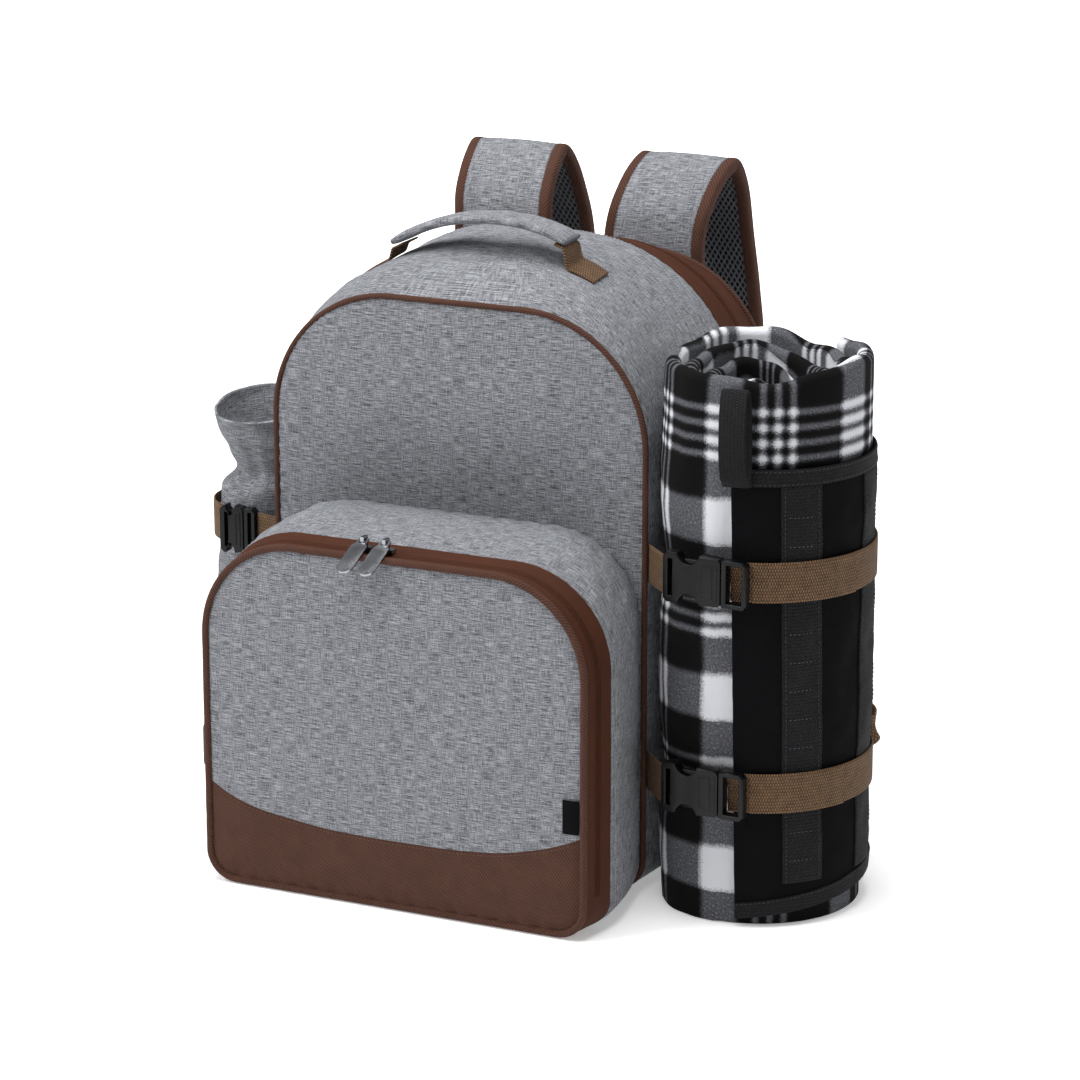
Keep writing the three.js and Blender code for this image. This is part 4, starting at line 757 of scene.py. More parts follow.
def main_gusset_relief(s, y, z):
    start, end = FRONT_Y + PIPING, REAR_BAND_Y
    soft = 1.3 * folds(s, y, 120, 3, 1.6) + 0.5 * folds(s, y, 45, 4, 0.7)
    inside = np.clip(np.minimum(y - start, end - y) / 25, 0, 1)
    return (soft * inside + seam_dip(y - start) + seam_dip(y - end, 1.6, 0.8)
            + puckers(s, y - start, 5) + puckers(s, y - end, 6, 13, 0.35))


def pocket_gusset_relief(s, y, z):
    start, end = POCKET_BAND_Y, FRONT_Y - PIPING
    soft = 1.5 * folds(s, y, 80, 13, 1.4) + 0.7 * folds(s, y, 36, 14, 0.6)
    inside = np.clip(np.minimum(y - start, end - y) / 18, 0, 1)
    return (soft * inside + seam_dip(y - start, 1.6, 0.8) + seam_dip(y - end, 2.5, 0.8)
            + puckers(s, y - start, 15, 12, 0.4, 9) + puckers(s, y - end, 16, 19, 0.6, 14))


def zip_relief(coil):
    def relief(s, y, z):
        beside = np.abs(y - coil)
        bed = 0.25 * np.exp(-((beside - 4.6) / 1.3) ** 2)
        return bed + 0.25 * folds(s, y, 60, 23, 2)
    return relief


ys = np.concatenate([np.linspace(-103.4, -96, 9), np.linspace(-93, 50, 48), np.linspace(51, 55.9, 6)])
gusset = ring_skin("main_body_wall", ys, bag_arch, GREY, main_gusset_relief,
                   replaces=["main_gusset"], slot="grey_cloth")
ring_skin("rear_zip_tape", np.linspace(REAR_BAND_Y - 0.2, 103.4, 40), bag_arch, ZIP, zip_relief(REAR_COIL_Y),
                      replaces=["rear_zip_band"], slot="zip_tape")
ys = np.concatenate([np.linspace(-189.1, -183, 8), np.linspace(-180, -114, 34), np.linspace(-113, -107.6, 6)])
pocket_wall = ring_skin("pocket_wall", ys, pocket_arch, GREY, pocket_gusset_relief,
                        replaces=["pocket_gusset"], slot="grey_cloth")
ring_skin("pocket_zip_tape", np.linspace(-216.6, POCKET_BAND_Y + 0.2, 30), pocket_arch, ZIP,
                        zip_relief(POCKET_COIL_Y), replaces=["pocket_zip_band"], slot="zip_tape")


def coil(name, y_mid, arch_at, start_z, pitch=1.7):
    """Two rows of interlocked teeth along a zip, above a height on both sides."""
    points, normals = outline(arch_at(y_mid))
    s = lengths(points)
    keep = points[:, 1] > start_z
    first, last = np.argmax(keep), len(keep) - np.argmax(keep[::-1])
    first = max(first, 20)
    fine = np.arange(s[first], s[min(last, len(s)) - 1], pitch / 4)
    x, z = np.interp(fine, s, points[:, 0]), np.interp(fine, s, points[:, 1])
    nx, nz = np.interp(fine, s, normals[:, 0]), np.interp(fine, s, normals[:, 1])
    across = np.array([-3.3, -3.0, -2.2, -1.1, -0.3, 0.3, 1.1, 2.2, 3.0, 3.3])
    wall = np.array([0.0, 0.75, 1.0, 1.0, 0.72, 0.72, 1.0, 1.0, 0.75, 0.0])
    phase = 2 * PI * fine[:, None] / pitch + np.where(across > 0, PI, 0)[None, :]
    rise = 1.25 * wall[None, :] * (0.62 + 0.38 * np.sin(phase)) + 0.05
    slope_top = np.array([arch_at(y_mid + a)[2] for a in across]) - arch_at(y_mid)[2]
    slope_half = np.array([arch_at(y_mid + a)[0] for a in across]) - arch_at(y_mid)[0]
    gx = x[:, None] + nx[:, None] * (rise + np.abs(nx[:, None]) * slope_half[None, :])
    gz = z[:, None] + nz[:, None] * (rise + np.abs(nz[:, None]) * slope_top[None, :])
    grid = np.stack([gx, np.broadcast_to(y_mid + across[None, :], gx.shape), gz], -1)
    uvs = np.stack(np.broadcast_arrays(fine[:, None], across[None, :]), -1)
    middle = len(fine) // 2
    flip = not facing(grid, np.array([nx[middle], 0, nz[middle]]))
    return surface(name, grid, uvs, ZIP, flip=flip)


coil("rear_zip_coil", REAR_COIL_Y, bag_arch, 100)
coil("pocket_zip_coil", POCKET_COIL_Y, pocket_arch, 32)


def piping_ring(name, arch, y, radius, lift, node):
    half, bottom, top, corner, foot = arch
    points, normals = outline((half, bottom + lift, top, corner, foot))
    path = np.stack([points[:, 0], np.full(len(points), y), points[:, 1]], 1)
    out = np.stack([normals[:, 0], np.zeros(len(points)), normals[:, 1]], 1)
    side = np.tile([0.0, 1.0, 0.0], (len(points), 1))
    s = lengths(path)
    wobble = radius * (1 + 0.035 * folds(s, 0 * s, 22, int(abs(y)), 1))
    return tube(name, path, out, side, wobble, BROWN, sides=14, replaces=[node], slot="brown_cloth")


piping_ring("main_piping_cord", bag_arch(FRONT_Y), FRONT_Y, PIPING, PIPING + 0.3, "main_piping")
piping_ring("rear_piping_cord", bag_arch(REAR_Y), REAR_Y, PIPING, PIPING + 0.3, "rear_piping")
piping_ring("pocket_piping_cord", pocket_arch(POCKET_Y), POCKET_Y, POCKET_PIPING,
                            POCKET_PIPING - 1.2, "pocket_piping")


def edge_distance(x, z, arch):
    line, _ = outline(arch)
    line = line[::2]
    flat = np.stack([x.ravel(), z.ravel()], 1)
    best = np.full(len(flat), 1e9)
    for k in range(0, len(flat), 4000):
        part = flat[k:k + 4000]
        best[k:k + 4000] = np.sqrt(((part[:, None, :] - line[None, :, :]) ** 2).sum(-1)).min(1)
    return best.reshape(x.shape)


def panel(name, arch, low, high, face, material, columns=130, rows=90, **where):
    """A cloth panel in columns between a lower and an upper edge, its face at face(x, z, distance)."""
    half = arch[0]
    x = half * np.sin(np.linspace(-PI / 2, PI / 2, columns))
    share = np.linspace(0, 1, rows)
    lo, hi = low(x), high(x)
    z = lo[None, :] + (hi - lo)[None, :] * share[:, None]
    gx = np.broadcast_to(x[None, :], z.shape)
    distance = edge_distance(gx, z, arch)
    grid = np.stack([gx, face(gx, z, distance), z], -1)
    uvs = np.stack([gx, z], -1)
    outward = np.array([0.0, -1.0 if face(0.0, 0.0, 0.0) < 0 else 1.0, 0.0])
    return surface(name, grid, uvs, material, flip=not facing(grid, outward), **where)


MAIN_LINE = inset((bag_arch(FRONT_Y)[0], 2.6, *bag_arch(FRONT_Y)[2:]), 1.4)
REAR_LINE = inset((bag_arch(REAR_Y)[0], 2.6, *bag_arch(REAR_Y)[2:]), 1.4)
POCKET_LINE = inset((pocket_arch(POCKET_Y)[0], 3.05, *pocket_arch(POCKET_Y)[2:]), 1.6)
POCKET_SHELF = 273 * 1.036 + PIPING


def main_face(x, z, distance):
    half, _, top, _, _ = bag_arch(FRONT_Y)
    rise = np.clip((z - POCKET_SHELF) / (top - POCKET_SHELF), 0, 1)
    side = np.maximum(1 - (x / half) ** 2, 0)
    crown = 7.0 * np.sin(PI * rise) * side
    inside = np.clip(np.asarray(distance) / 30, 0, 1) * np.clip((np.asarray(z) - POCKET_SHELF) / 30, 0, 1)
    soft = 1.3 * folds(x, z, 130, 33) + 0.45 * folds(x, z, 42, 34)
    return -107.2 - crown + 2.4 * np.exp(-np.asarray(distance) / 5) - soft * inside


def back_face(x, z, distance):
    half, _, top, _, _ = bag_arch(REAR_Y)
    across = np.maximum(1 - (x / half) ** 2, 0)
    up = np.maximum(1 - (2 * z / top - 1) ** 2, 0)
    inside = np.clip(np.asarray(distance) / 25, 0, 1)
    soft = 1.0 * folds(x, z, 110, 43)
    return 107.4 + 4.2 * across * up - 2.6 * np.exp(-np.asarray(distance) / 6) + soft * inside * 0.4


def pocket_front_face(x, z, distance):
    half, _, top, _, _ = pocket_arch(POCKET_Y)
    across = np.maximum(1 - (x / half) ** 2, 0)
    up = np.sin(PI * np.clip(z / top, 0, 1))
    inside = np.clip(np.asarray(distance) / 28, 0, 1)
    soft = 1.5 * folds(x, z, 120, 53, 1.3) + 0.5 * folds(x, z, 40, 54)
    return -220.55 - 5 * across * up + 2.6 * np.exp(-np.asarray(distance) / 5) - soft * inside


def base_seam(x):
    return 56 + 25 * np.abs(x / 157) ** 3


def seam_groove(face, above):
    def with_groove(x, z, distance):
        away = np.abs(np.asarray(z) - base_seam(x))
        return face(x, z, distance) + (0.7 if above else 0.5) * np.exp(-away / (1.6 if above else 1.0))
    return with_groove


front = panel("front_cloth", MAIN_LINE, lambda x: foot_at(x, MAIN_LINE), lambda x: top_at(x, MAIN_LINE), main_face,
              GREY, replaces=["front_panel"], slot="grey_cloth")
back = panel("back_cloth", REAR_LINE, lambda x: foot_at(x, REAR_LINE), lambda x: top_at(x, REAR_LINE), back_face,
             GREY, replaces=["back_panel"], slot="grey_cloth")
pocket_face = panel("pocket_cloth", POCKET_LINE, base_seam, lambda x: top_at(x, POCKET_LINE),
                    seam_groove(pocket_front_face, True), GREY, replaces=["pocket_front"], slot="grey_cloth")
base_band = panel("base_cloth", POCKET_LINE, lambda x: foot_at(x, POCKET_LINE), base_seam,
                  seam_groove(pocket_front_face, False), BROWN, rows=36,
                  replaces=["pocket_base_band"], slot="brown_cloth")


def side_label():
    """A bare folded label caught in the pocket's seam."""
    x = np.linspace(141.4, 154.4, 12)
    z = np.linspace(84, 110, 16)
    gx, gz = np.meshgrid(x, z)
    across = (gx - 141.4) / 13
    y = -222.4 - 0.5 * np.sin(PI * across) + 1.3 * across**4
    grid = np.stack([gx, y, gz], -1)
    return thicken("label_cloth", grid, np.stack([gx, gz], -1), 0.8, BLACK,
                   replaces=["side_label"], slot="black_cloth")


side_label()


# Carrying handle
def grip_height(x):
    middle = (HANDLE_LEFT + HANDLE_RIGHT) / 2 + HANDLE_WIDTH / 2
    span = np.where(x < middle, middle - HANDLE_LEFT, HANDLE_RIGHT - middle)
    end = np.where(x < middle, 473.0, 485.0)
    return HANDLE_TOP - (HANDLE_TOP - end) * (np.abs(x - middle) / span) ** 2.2


def super_ring(half_width, half_height, count=33, power=3.2):
    angle = np.linspace(0, 2 * PI, count)
    c, s = np.cos(angle), np.sin(angle)
    return np.stack([np.sign(c) * np.abs(c) ** (2 / power) * half_width,
                     np.sign(s) * np.abs(s) ** (2 / power) * half_height], 1)


def capped(name, grid, uvs, material, **where):
    """A tube-like grid closed by flat ends."""
    rows, cols = grid.shape[:2]
    faces = grid_faces(rows, cols).tolist()
    faces.append(list(range(cols - 1)))
    faces.append([(rows - 1) * cols + c for c in range(cols - 2, -1, -1)])
    obj = make(name, grid, np.array(faces, dtype=object), uvs, material, **where)
    mesh = bmesh.new()
    mesh.from_mesh(obj.data)
    bmesh.ops.remove_doubles(mesh, verts=mesh.verts, dist=1e-6)
    bmesh.ops.recalc_face_normals(mesh, faces=mesh.faces)
    mesh.to_mesh(obj.data)
    mesh.free()
    return obj


def grip():
    share = np.linspace(0, 1, 70)
    x = HANDLE_LEFT + (HANDLE_RIGHT - HANDLE_LEFT) * share
    z = grip_height(x)
    tilt = np.arctan(np.gradient(z, x))
    end = np.minimum(share, 1 - share) * (HANDLE_RIGHT - HANDLE_LEFT)
    swell = 0.72 + 0.28 * np.clip(end / 9, 0, 1) ** 0.5
    ring = super_ring(HANDLE_WIDTH / 2, HANDLE_THICK / 2)
    wave = 1 + 0.03 * folds(x, 0 * x, 30, 61)
    lift = ring[None, :, 1] * (swell * wave)[:, None]
    grid = np.stack([
        x[:, None] - lift * np.sin(tilt)[:, None],
        HANDLE_Y + ring[None, :, 0] * (0.95 + 0.05 * swell)[:, None],
        z[:, None] + lift * np.cos(tilt)[:, None],
    ], -1)
    around = lengths(ring)
    uvs = np.stack(np.broadcast_arrays(x[:, None], around[None, :]), -1)
    return capped("handle_cloth", grid, uvs, GREY, replaces=["handle_grip"], slot="grey_cloth")


handle = grip()


def bag_top(x, y):
    return np.array([top_at(x, bag_arch(v)) for v in np.atleast_1d(y)])


def handle_tab(name, x, side, node):
    """Webbing from under the grip's end, sewn flat to the cloth beyond it."""
    across = HANDLE_Y + np.linspace(-14, 14, 15)
    lift = 1.8

    def under(at):
        slope = (grip_height(at + 1) - grip_height(at - 1)) / 2
        return grip_height(at) - 4.85 / math.cos(math.atan(slope))

    knee = x + side * 1.6
    rows = [(x - side * lap, np.full(15, float(under(x - side * lap)))) for lap in (8, 4, 0)]
    low = bag_top(knee, across) + lift
    rows.append((knee, low + (float(under(knee)) - low) * 0.45))
    for t in np.linspace(0, 1, 6):
        at = x + side * (3.5 + 21.5 * t)
        rows.append((at, bag_top(at, across) + lift - 0.2 * t))
    xs = np.array([r[0] for r in rows])
    zs = np.stack([r[1] for r in rows])
    steps = np.arange(len(xs))
    fine = np.linspace(0, len(xs) - 1, 50)
    gx = np.broadcast_to(hermite(steps, xs, fine)[:, None], (50, 15))
    gz = np.stack([hermite(steps, zs[:, c], fine) for c in range(15)], 1)
    gy = np.broadcast_to(across[None, :], gx.shape)
    grid = np.stack([gx, gy, gz], -1)
    s = lengths(grid[:, 7])
    uvs = np.stack(np.broadcast_arrays(s[:, None], across[None, :] - HANDLE_Y), -1)
    if side < 0:
        grid = grid[:, ::-1]
        uvs = uvs[:, ::-1]
    normals = grid_normals(grid)
    sign = 1 if normals[-5, 7, 2] > 0 else -1
    grid = grid + normals * sign * 0.8
    if sign < 0:
        grid, uvs = grid[:, ::-1], uvs[:, ::-1]
    return thicken(name, grid, uvs, 1.6, KHAKI, replaces=[node], slot="khaki_webbing")


tab_left = handle_tab("handle_webbing_left", HANDLE_LEFT + 1, -1, "handle_tab_left")
tab_right = handle_tab("handle_webbing_right", HANDLE_RIGHT - 1, 1, "handle_tab_right")


# Shoulder straps
def strap_path(side):
    column = 2 if side < 0 else 3
    rows = np.stack([side * (STRAP_X + STRAP_ROWS[:, column]), REAR_Y + STRAP_ROWS[:, 1] * STRAP_BACKSET,
                     STRAP_ROWS[:, 0] * STRAP_SPAN], 1)
    path = through(rows, 8)
    run = np.gradient(path, axis=0)
    run[:, 0] = 0
    run = unit(run)
    normal = np.stack([np.zeros(len(run)), -run[:, 2], run[:, 1]], 1)
    return path, normal, run


def strap_layer(name, side, section, material, **where):
    """A closed section swept along a strap; its columns are how far out and how deep."""
    path, normal, _ = strap_path(side)
    out = np.array([side, 0.0, 0.0])
    s = lengths(path)
    waver = 0.5 * folds(s, 0 * s, 55, 71 + side)
    grid = (path[:, None, :] + out[None, None, :] * section[None, :, :1]
            - normal[:, None, :] * (section[None, :, 1:] - waver[:, None, None] * 0.6))
    around = lengths(section)
    uvs = np.stack(np.broadcast_arrays(around[None, :], s[:, None]), -1)
    return capped(name, grid, uvs, material, **where)


def shoulder_strap(word, side):
    half = STRAP_WIDTH / 2
    core = half - STRAP_BINDING
    depth = STRAP_PAD + 0.3 + STRAP_MESH
    across = np.linspace(-core - 3, core + 3, 25)
    puff = 1.2 * (1 - (across / (core + 3)) ** 2)
    pad = np.concatenate([np.stack([across, 0.5 - puff], 1),
                          np.stack([across[::-1], np.full(25, STRAP_PAD)], 1)])
    pad = np.concatenate([pad, pad[:1]])
    made = [strap_layer(f"strap_pad_{word}", side, pad, GREY,
                        replaces=[f"shoulder_strap_{word}"], slot="grey_cloth")]
    sag = 0.9 * (1 - (across / (core + 3)) ** 2)
    net = np.concatenate([np.stack([across, np.full(25, STRAP_PAD + 0.2)], 1),
                          np.stack([across[::-1], depth - 0.6 + sag], 1)])
    net = np.concatenate([net, net[:1]])
    made.append(strap_layer(f"strap_net_{word}", side, net, MESH,
                            replaces=[f"strap_mesh_{word}"], slot="spacer_mesh"))
    ring = super_ring(STRAP_BINDING / 2 + 0.3, depth / 2 + 0.1, 25, 3.0)
    for edge, sign in (("outer", 1), ("inner", -1)):
        section = ring + np.array([sign * (half - STRAP_BINDING / 2), depth / 2])
        made.append(strap_layer(f"strap_edge_{word}_{edge}", side, section, BROWN,
                                replaces=[f"strap_binding_{word}_{edge}"], slot="brown_cloth"))
    return made


def sling(word, side):
    path, normal, run = strap_path(side)
    depth = STRAP_PAD + 0.3 + STRAP_MESH
    middle = path[-1] - normal[-1] * depth / 2
    starts = [middle + run[-1] * down for down in (24.6, 48.6)]
    rows = np.stack([side * SLING_ROWS[:, 0] * SLING_REACH, REAR_Y + SLING_ROWS[:, 1] * STRAP_BACKSET,
                     SLING_ROWS[:, 2] * STRAP_SPAN], 1)
    line = through(np.concatenate([starts, rows]), 8)
    turn = hermite(np.arange(len(rows) + 2), np.concatenate([[0, 0], SLING_ROWS[:, 3]]),
                   np.linspace(0, len(rows) + 1, len(line)))
    way = unit(np.gradient(line, axis=0))
    across = np.stack([side * np.cos(np.radians(turn)), 0 * turn, np.sin(np.radians(turn))], 1)
    across = unit(across - way * (across * way).sum(1, keepdims=True))
    out = unit(np.cross(way, across))
    return ribbon(f"sling_webbing_{word}", line, across, out, 25, WEBBING, KHAKI,
                  replaces=[f"strap_webbing_{word}"], slot="khaki_webbing")


slings = {}
for word, side in (("left", -1), ("right", 1)):
    shoulder_strap(word, side)
    slings[word] = sling(word, side)


# Bottle holder, drawn in at the neck and open above it
def holder_grid():
    theta = np.linspace(0, 2 * PI, 145)
    shares = np.concatenate([np.linspace(0, 0.7, 50), np.linspace(0.708, 0.98, 60)])
    girth, tilt, pleat = (hermite(HOLDER_ROWS[:, 0], HOLDER_ROWS[:, c], shares) for c in (1, 2, 3))
    shift = 1.3 * folds(shares * 300, 0 * shares, 150, 81)
    gathers = (np.cos(8 * theta[None, :] + shift[:, None])
               + 0.6 * np.cos(13 * theta[None, :] + 1.3 + shift[:, None]))
    radius = HOLDER_RADIUS * girth[:, None] * (1 - pleat[:, None] * (0.5 + 0.32 * gathers))
    height = HOLDER_FOOT + shares * (HOLDER_TOP - HOLDER_FOOT)
    around = theta[None, :] * HOLDER_RADIUS
    crease = folds(around, height[:, None], 70, 82, 0.8) * 1.2
    crease = crease + 1.6 * folds(around, height[:, None], 34, 83, 1.8) * np.clip((shares[:, None] - 0.5) / 0.2, 0, 1)
    radius = radius + crease
    base = np.linspace(0.02, 1, 10)[:, None]
    radius = np.concatenate([radius[:1] * base, radius])
    height = np.concatenate([np.full(10, HOLDER_FOOT), height])
    girth = np.concatenate([np.full(10, girth[0]), girth])
    tilt = np.concatenate([np.zeros(10), tilt])
    wall = -(side_at(bag_arch, HOLDER_Y) + 0.3)
    x = (wall - HOLDER_RADIUS * girth[:, None] * 0.92) + radius * np.cos(theta[None, :])
    y = HOLDER_Y + radius * np.sin(theta[None, :])
    limit = -np.array([side_at(bag_arch, v) for v in np.linspace(-105, 20, 60)]) - 0.5
    x = np.minimum(x, np.interp(y, np.linspace(-105, 20, 60), limit))
    z = height[:, None] + tilt[:, None] * 7 * np.sin(theta[None, :])
    grid = np.stack(np.broadcast_arrays(x, y, z), -1)
    along = lengths(grid[:, 36])
    uvs = np.stack(np.broadcast_arrays(around, along[:, None]), -1)
    return grid, uvs


grid, uvs = holder_grid()
if not facing(grid, grid[80, 72] - np.array([-205.0, HOLDER_Y, grid[80, 72, 2]])):
    grid, uvs = grid[:, ::-1], uvs[:, ::-1]
holder = thicken("holder_cloth", grid, uvs, 2.0, GREY, replaces=["bottle_holder"], slot="grey_cloth")


def holder_girth(z):
    share = (z - HOLDER_FOOT) / (HOLDER_TOP - HOLDER_FOOT)
    return HOLDER_RADIUS * hermite(HOLDER_ROWS[:, 0], HOLDER_ROWS[:, 1], share)


def holder_band(name, z, start, stop, material, node, slot):
    radius = max(holder_girth(z + d) for d in (-15, 0, 15))
    cx = -(side_at(bag_arch, HOLDER_Y) + 0.3) - radius * 0.92
    angle = np.radians(np.linspace(start, stop, 90))
    reach = radius + 1.8
    x = cx + reach * np.cos(angle)
    y = HOLDER_Y + reach * np.sin(angle)
    x = np.minimum(x, -np.array([side_at(bag_arch, v) for v in y]) - 1.8)
    path = np.stack([x, y, np.full(len(x), z)], 1)
    run = unit(np.gradient(path, axis=0))
    up = np.tile([0.0, 0.0, 1.0], (len(path), 1))
    return ribbon(name, path, up, unit(np.cross(run, up)), WEBBING_WIDTH, WEBBING, material,
                  replaces=[node], slot=slot)


def straight_strap(name, side, seam_z, z, end, node):
    seam_y = FRONT_Y + PIPING + 1.9
    start = np.array([side * (side_at(bag_arch, seam_y) + 1.1), seam_y, seam_z])
    stop = np.array([end[0], end[1], z])
    t = np.linspace(0, 1, 24)[:, None]
    path = start + (stop - start) * t
    run = unit((stop - start) * np.array([1, 1, 0]))
    normal = np.tile([run[1], -run[0], 0.0], (24, 1))
    path = path + normal * 0.5 * np.sin(PI * t)
    return ribbon(name, path, np.tile([0.0, 0.0, 1.0], (24, 1)), normal, WEBBING_WIDTH, WEBBING, KHAKI,
                  replaces=[node], slot="khaki_webbing")


# Buckles: local x runs along the strap, z across it, and the face looks out along -y
def buckle_parts(female, male):
    length = female + 0.3 + male
    left, right = -length / 2, length / 2
    split = left + female
    half, thick = BUCKLE_HEIGHT / 2, BUCKLE_THICK
    a, b = left + female * 0.24, left + female * 0.64
    deep = half * 0.42
    lower = [(left, -half + 3), (left + 3, -half), (a - 1, -half)]
    for t in np.linspace(0, 1, 12):
        lower.append((a + (b - a) * t, -half + deep * math.sin(PI * t) ** 0.7))
    lower += [(b + 1, -half + 0.6), (split - 2, -half + 1.2), (split, -half + 3)]
    shape = lower + [(x, -z) for x, z in lower[::-1]]
    slot = [(left + 4, -half + 5), (left + 4, half - 5), (left + 7.5, half - 5), (left + 7.5, -half + 5)]
    bodies = [plate("female", shape, thick, 1.6, PLASTIC, holes=[slot])]
    ridge_x = split - 3.2
    bodies.append(plate("ridge", [(ridge_x - 1.2, -half + 5), (ridge_x + 1.2, -half + 5), (ridge_x + 1.2, half - 5),
                                  (ridge_x - 1.2, half - 5)], thick + 1.0, 0.45, PLASTIC))
    inset_shape = [(b + 1.5, -half + 7), (split - 6, -half + 6), (split - 6, half - 6), (b + 1.5, half - 7)]
    bodies.append(plate("raised", inset_shape, thick + 0.9, 0.5, PLASTIC))
    start = split + 0.3
    frame_shape = [(start, -half + 2), (start + 1, -half + 1), (right - 3, -half + 1), (right, -half + 4),
                   (right, half - 4), (right - 3, half - 1), (start + 1, half - 1), (start, half - 2)]
    window = [(start + 4, -half + 4.5), (start + 4, half - 4.5), (right - 3.6, half - 4.5), (right - 3.6, -half + 4.5)]
    males = [plate("frame", frame_shape, thick - 1.5, 1.2, PLASTIC, holes=[window])]
    arm_x = (a + b) / 2 - 4
    for sign in (-1, 1):
        z0, z1 = sign * (half - 4.2), sign * (half - 9)
        arm = [(arm_x, z0), (start + 1, z0), (start + 1, z1), (arm_x, z1)]
        males.append(plate("arm", arm if sign > 0 else arm[::-1], 4.2, 0.8, PLASTIC))
    return bodies, males, length / 2


def place(cx, cy, z, degrees, radius):
    angle = math.radians(degrees)
    spot = Matrix.Translation(((cx + radius * math.cos(angle)) * MM,
                               (cy + radius * math.sin(angle)) * MM, z * MM))
    return spot @ Matrix.Rotation(angle + PI / 2, 4, "Z")


def buckle(word, female, male, at, nodes):
    bodies, males, half = buckle_parts(female, male)
    made = [joined(f"{word}_buckle_socket", bodies, at, PLASTIC, replaces=[nodes[0]])]
    made.append(joined(f"{word}_buckle_prongs", males, at, PLASTIC, replaces=[nodes[1]]))
    return made


def holder_straps():
    radius = holder_girth(HOLDER_STRAP_Z - 15)
    cx = -(side_at(bag_arch, HOLDER_Y) + 0.3) - radius * 0.92
    half = (20 + 0.3 + 10) / 2
    reach = radius + 1 + 0.8 + 5 + 1
    turn = math.degrees(math.atan((half + 1) / reach))
    holder_band("holder_webbing", HOLDER_STRAP_Z, -88 - turn, -252, KHAKI, "holder_strap", "khaki_webbing")
    holder_band("holder_foot_webbing", HOLDER_LOWER_Z, -40, -240, BLACK_WEB, "holder_strap_lower", "black_webbing")
    angle = math.radians(-88)
    end = np.array([cx + reach * math.cos(angle) - math.sin(angle) * (half + 1),
                    HOLDER_Y + reach * math.sin(angle) + math.cos(angle) * (half + 1)])
    straight_strap("holder_webbing_short", -1, HOLDER_STRAP_Z, HOLDER_STRAP_Z, end, "holder_strap_short")
    buckle("holder", 20, 10, place(cx, HOLDER_Y, HOLDER_STRAP_Z, -88, reach),
           ["holder_buckle_female", "holder_buckle_male"])


holder_straps()

# Rolled blanket
ROLL_X = side_at(bag_arch, ROLL_Y) + 1.3 + ROLL_RADIUS * 0.855


# Where round the roll its upper rim rises or dips
ROLL_RIM = [(0, 6.5, 50), (110, 8.0, 45), (-62, -5.0, 25)]


def roll_radius(degrees):
    away = np.abs((np.asarray(degrees, float) % 360) - 180) / 48
    return ROLL_RADIUS * (1 - 0.145 * np.exp(-away**2))


def on_roll(degrees, proud, z):
    angle = np.radians(degrees)
    radius = roll_radius(degrees) + proud
    return np.stack(np.broadcast_arrays(ROLL_X + radius * np.cos(angle), ROLL_Y + radius * np.sin(angle), z), -1)


def roll_grid():
    """The rolled cloth as one spiral: each station runs up its outer face, over its rim and down inside."""
    per = 90
    turned = np.arange(per * ROLL_TURNS + 1) / per
    degrees = 60 + 360 * turned
    whole = np.floor(turned)
    within = np.clip((turned - whole) * 360 / 90, 0, 1)
    layer = whole + within**2 * (3 - 2 * within)
    pitch = (ROLL_RADIUS - ROLL_CORE) / ROLL_TURNS
    outer = roll_radius(degrees) * (ROLL_CORE + pitch * layer) / ROLL_RADIUS
    thick = pitch * roll_radius(degrees) / ROLL_RADIUS - 1.2
    inner = np.maximum(outer - thick, 2)
    thick = outer - inner
    s = degrees * 1.408
    drop = np.maximum(ROLL_TURNS - layer, 0)
    rim = sum(rise * np.exp(-((((degrees - at) % 360 + 540) % 360 - 180) / spread) ** 2)
              for at, rise, spread in ROLL_RIM)
    top = ROLL_TOP + rim - 6.5 * drop - 1.2 * drop**2 + 1.3 * folds(s, 0 * s, 60, 91)
    columns = []
    up = np.concatenate([np.linspace(0, 1, 60) ** 0.9])
    bulge = 1.6 * folds(s[:, None], up[None, :] * 400, 90, 92) + 0.9 * folds(s[:, None], up[None, :] * 400, 34, 93)
    swell = 2.2 * np.sin(np.clip(up, 0, 1) * PI)[None, :] ** 0.5
    press = sum(np.exp(-((up[None, :] * top[:, None] - z) / 26) ** 2) for z in (UPPER_STRAP_Z, LOWER_STRAP_Z))
    under_flap = ((degrees % 360 > 270) | (degrees % 360 < 142)).astype(float)[:, None]
    radius = outer[:, None] + (bulge + swell - 3.2 * press * 0.6) * (1 - 0.9 * under_flap) - 2.4 * under_flap * (
        up[None, :] * top[:, None] < FLAP_TOP + 4)
    body_top = top - thick * 0.5
    z = 0.4 + up[None, :] * (body_top - 0.4)[:, None]
    columns.append(np.stack([radius, z], -1))
    turn = np.linspace(0, PI, 15)[1:]
    rim_mid = (radius[:, -1] + inner) / 2
    rim_half = (radius[:, -1] - inner) / 2
    rim_r = rim_mid[:, None] + rim_half[:, None] * np.cos(turn)[None, :]
    rim_z = body_top[:, None] + (thick * 0.5)[:, None] * np.sin(turn)[None, :]
    columns.append(np.stack([rim_r, rim_z], -1))
    down = np.linspace(0, 1, 12)[1:]
    columns.append(np.stack(np.broadcast_arrays(inner[:, None], body_top[:, None] * (1 - down)[None, :] + 0.4), -1))
    section = np.concatenate(columns, 1)
    angle = np.radians(degrees)[:, None]
    grid = np.stack([ROLL_X + section[:, :, 0] * np.cos(angle), ROLL_Y + section[:, :, 0] * np.sin(angle),
                     section[:, :, 1]], -1)
    along = np.concatenate([np.zeros((len(s), 1)), np.cumsum(np.linalg.norm(np.diff(section, axis=1), axis=2), 1)], 1)
    arc = (degrees - 360 * ROLL_TURNS - 60 + 60) * 1.408
    uvs = np.stack(np.broadcast_arrays(arc[:, None] + 101 * 1.408, along), -1)
    return grid, uvs


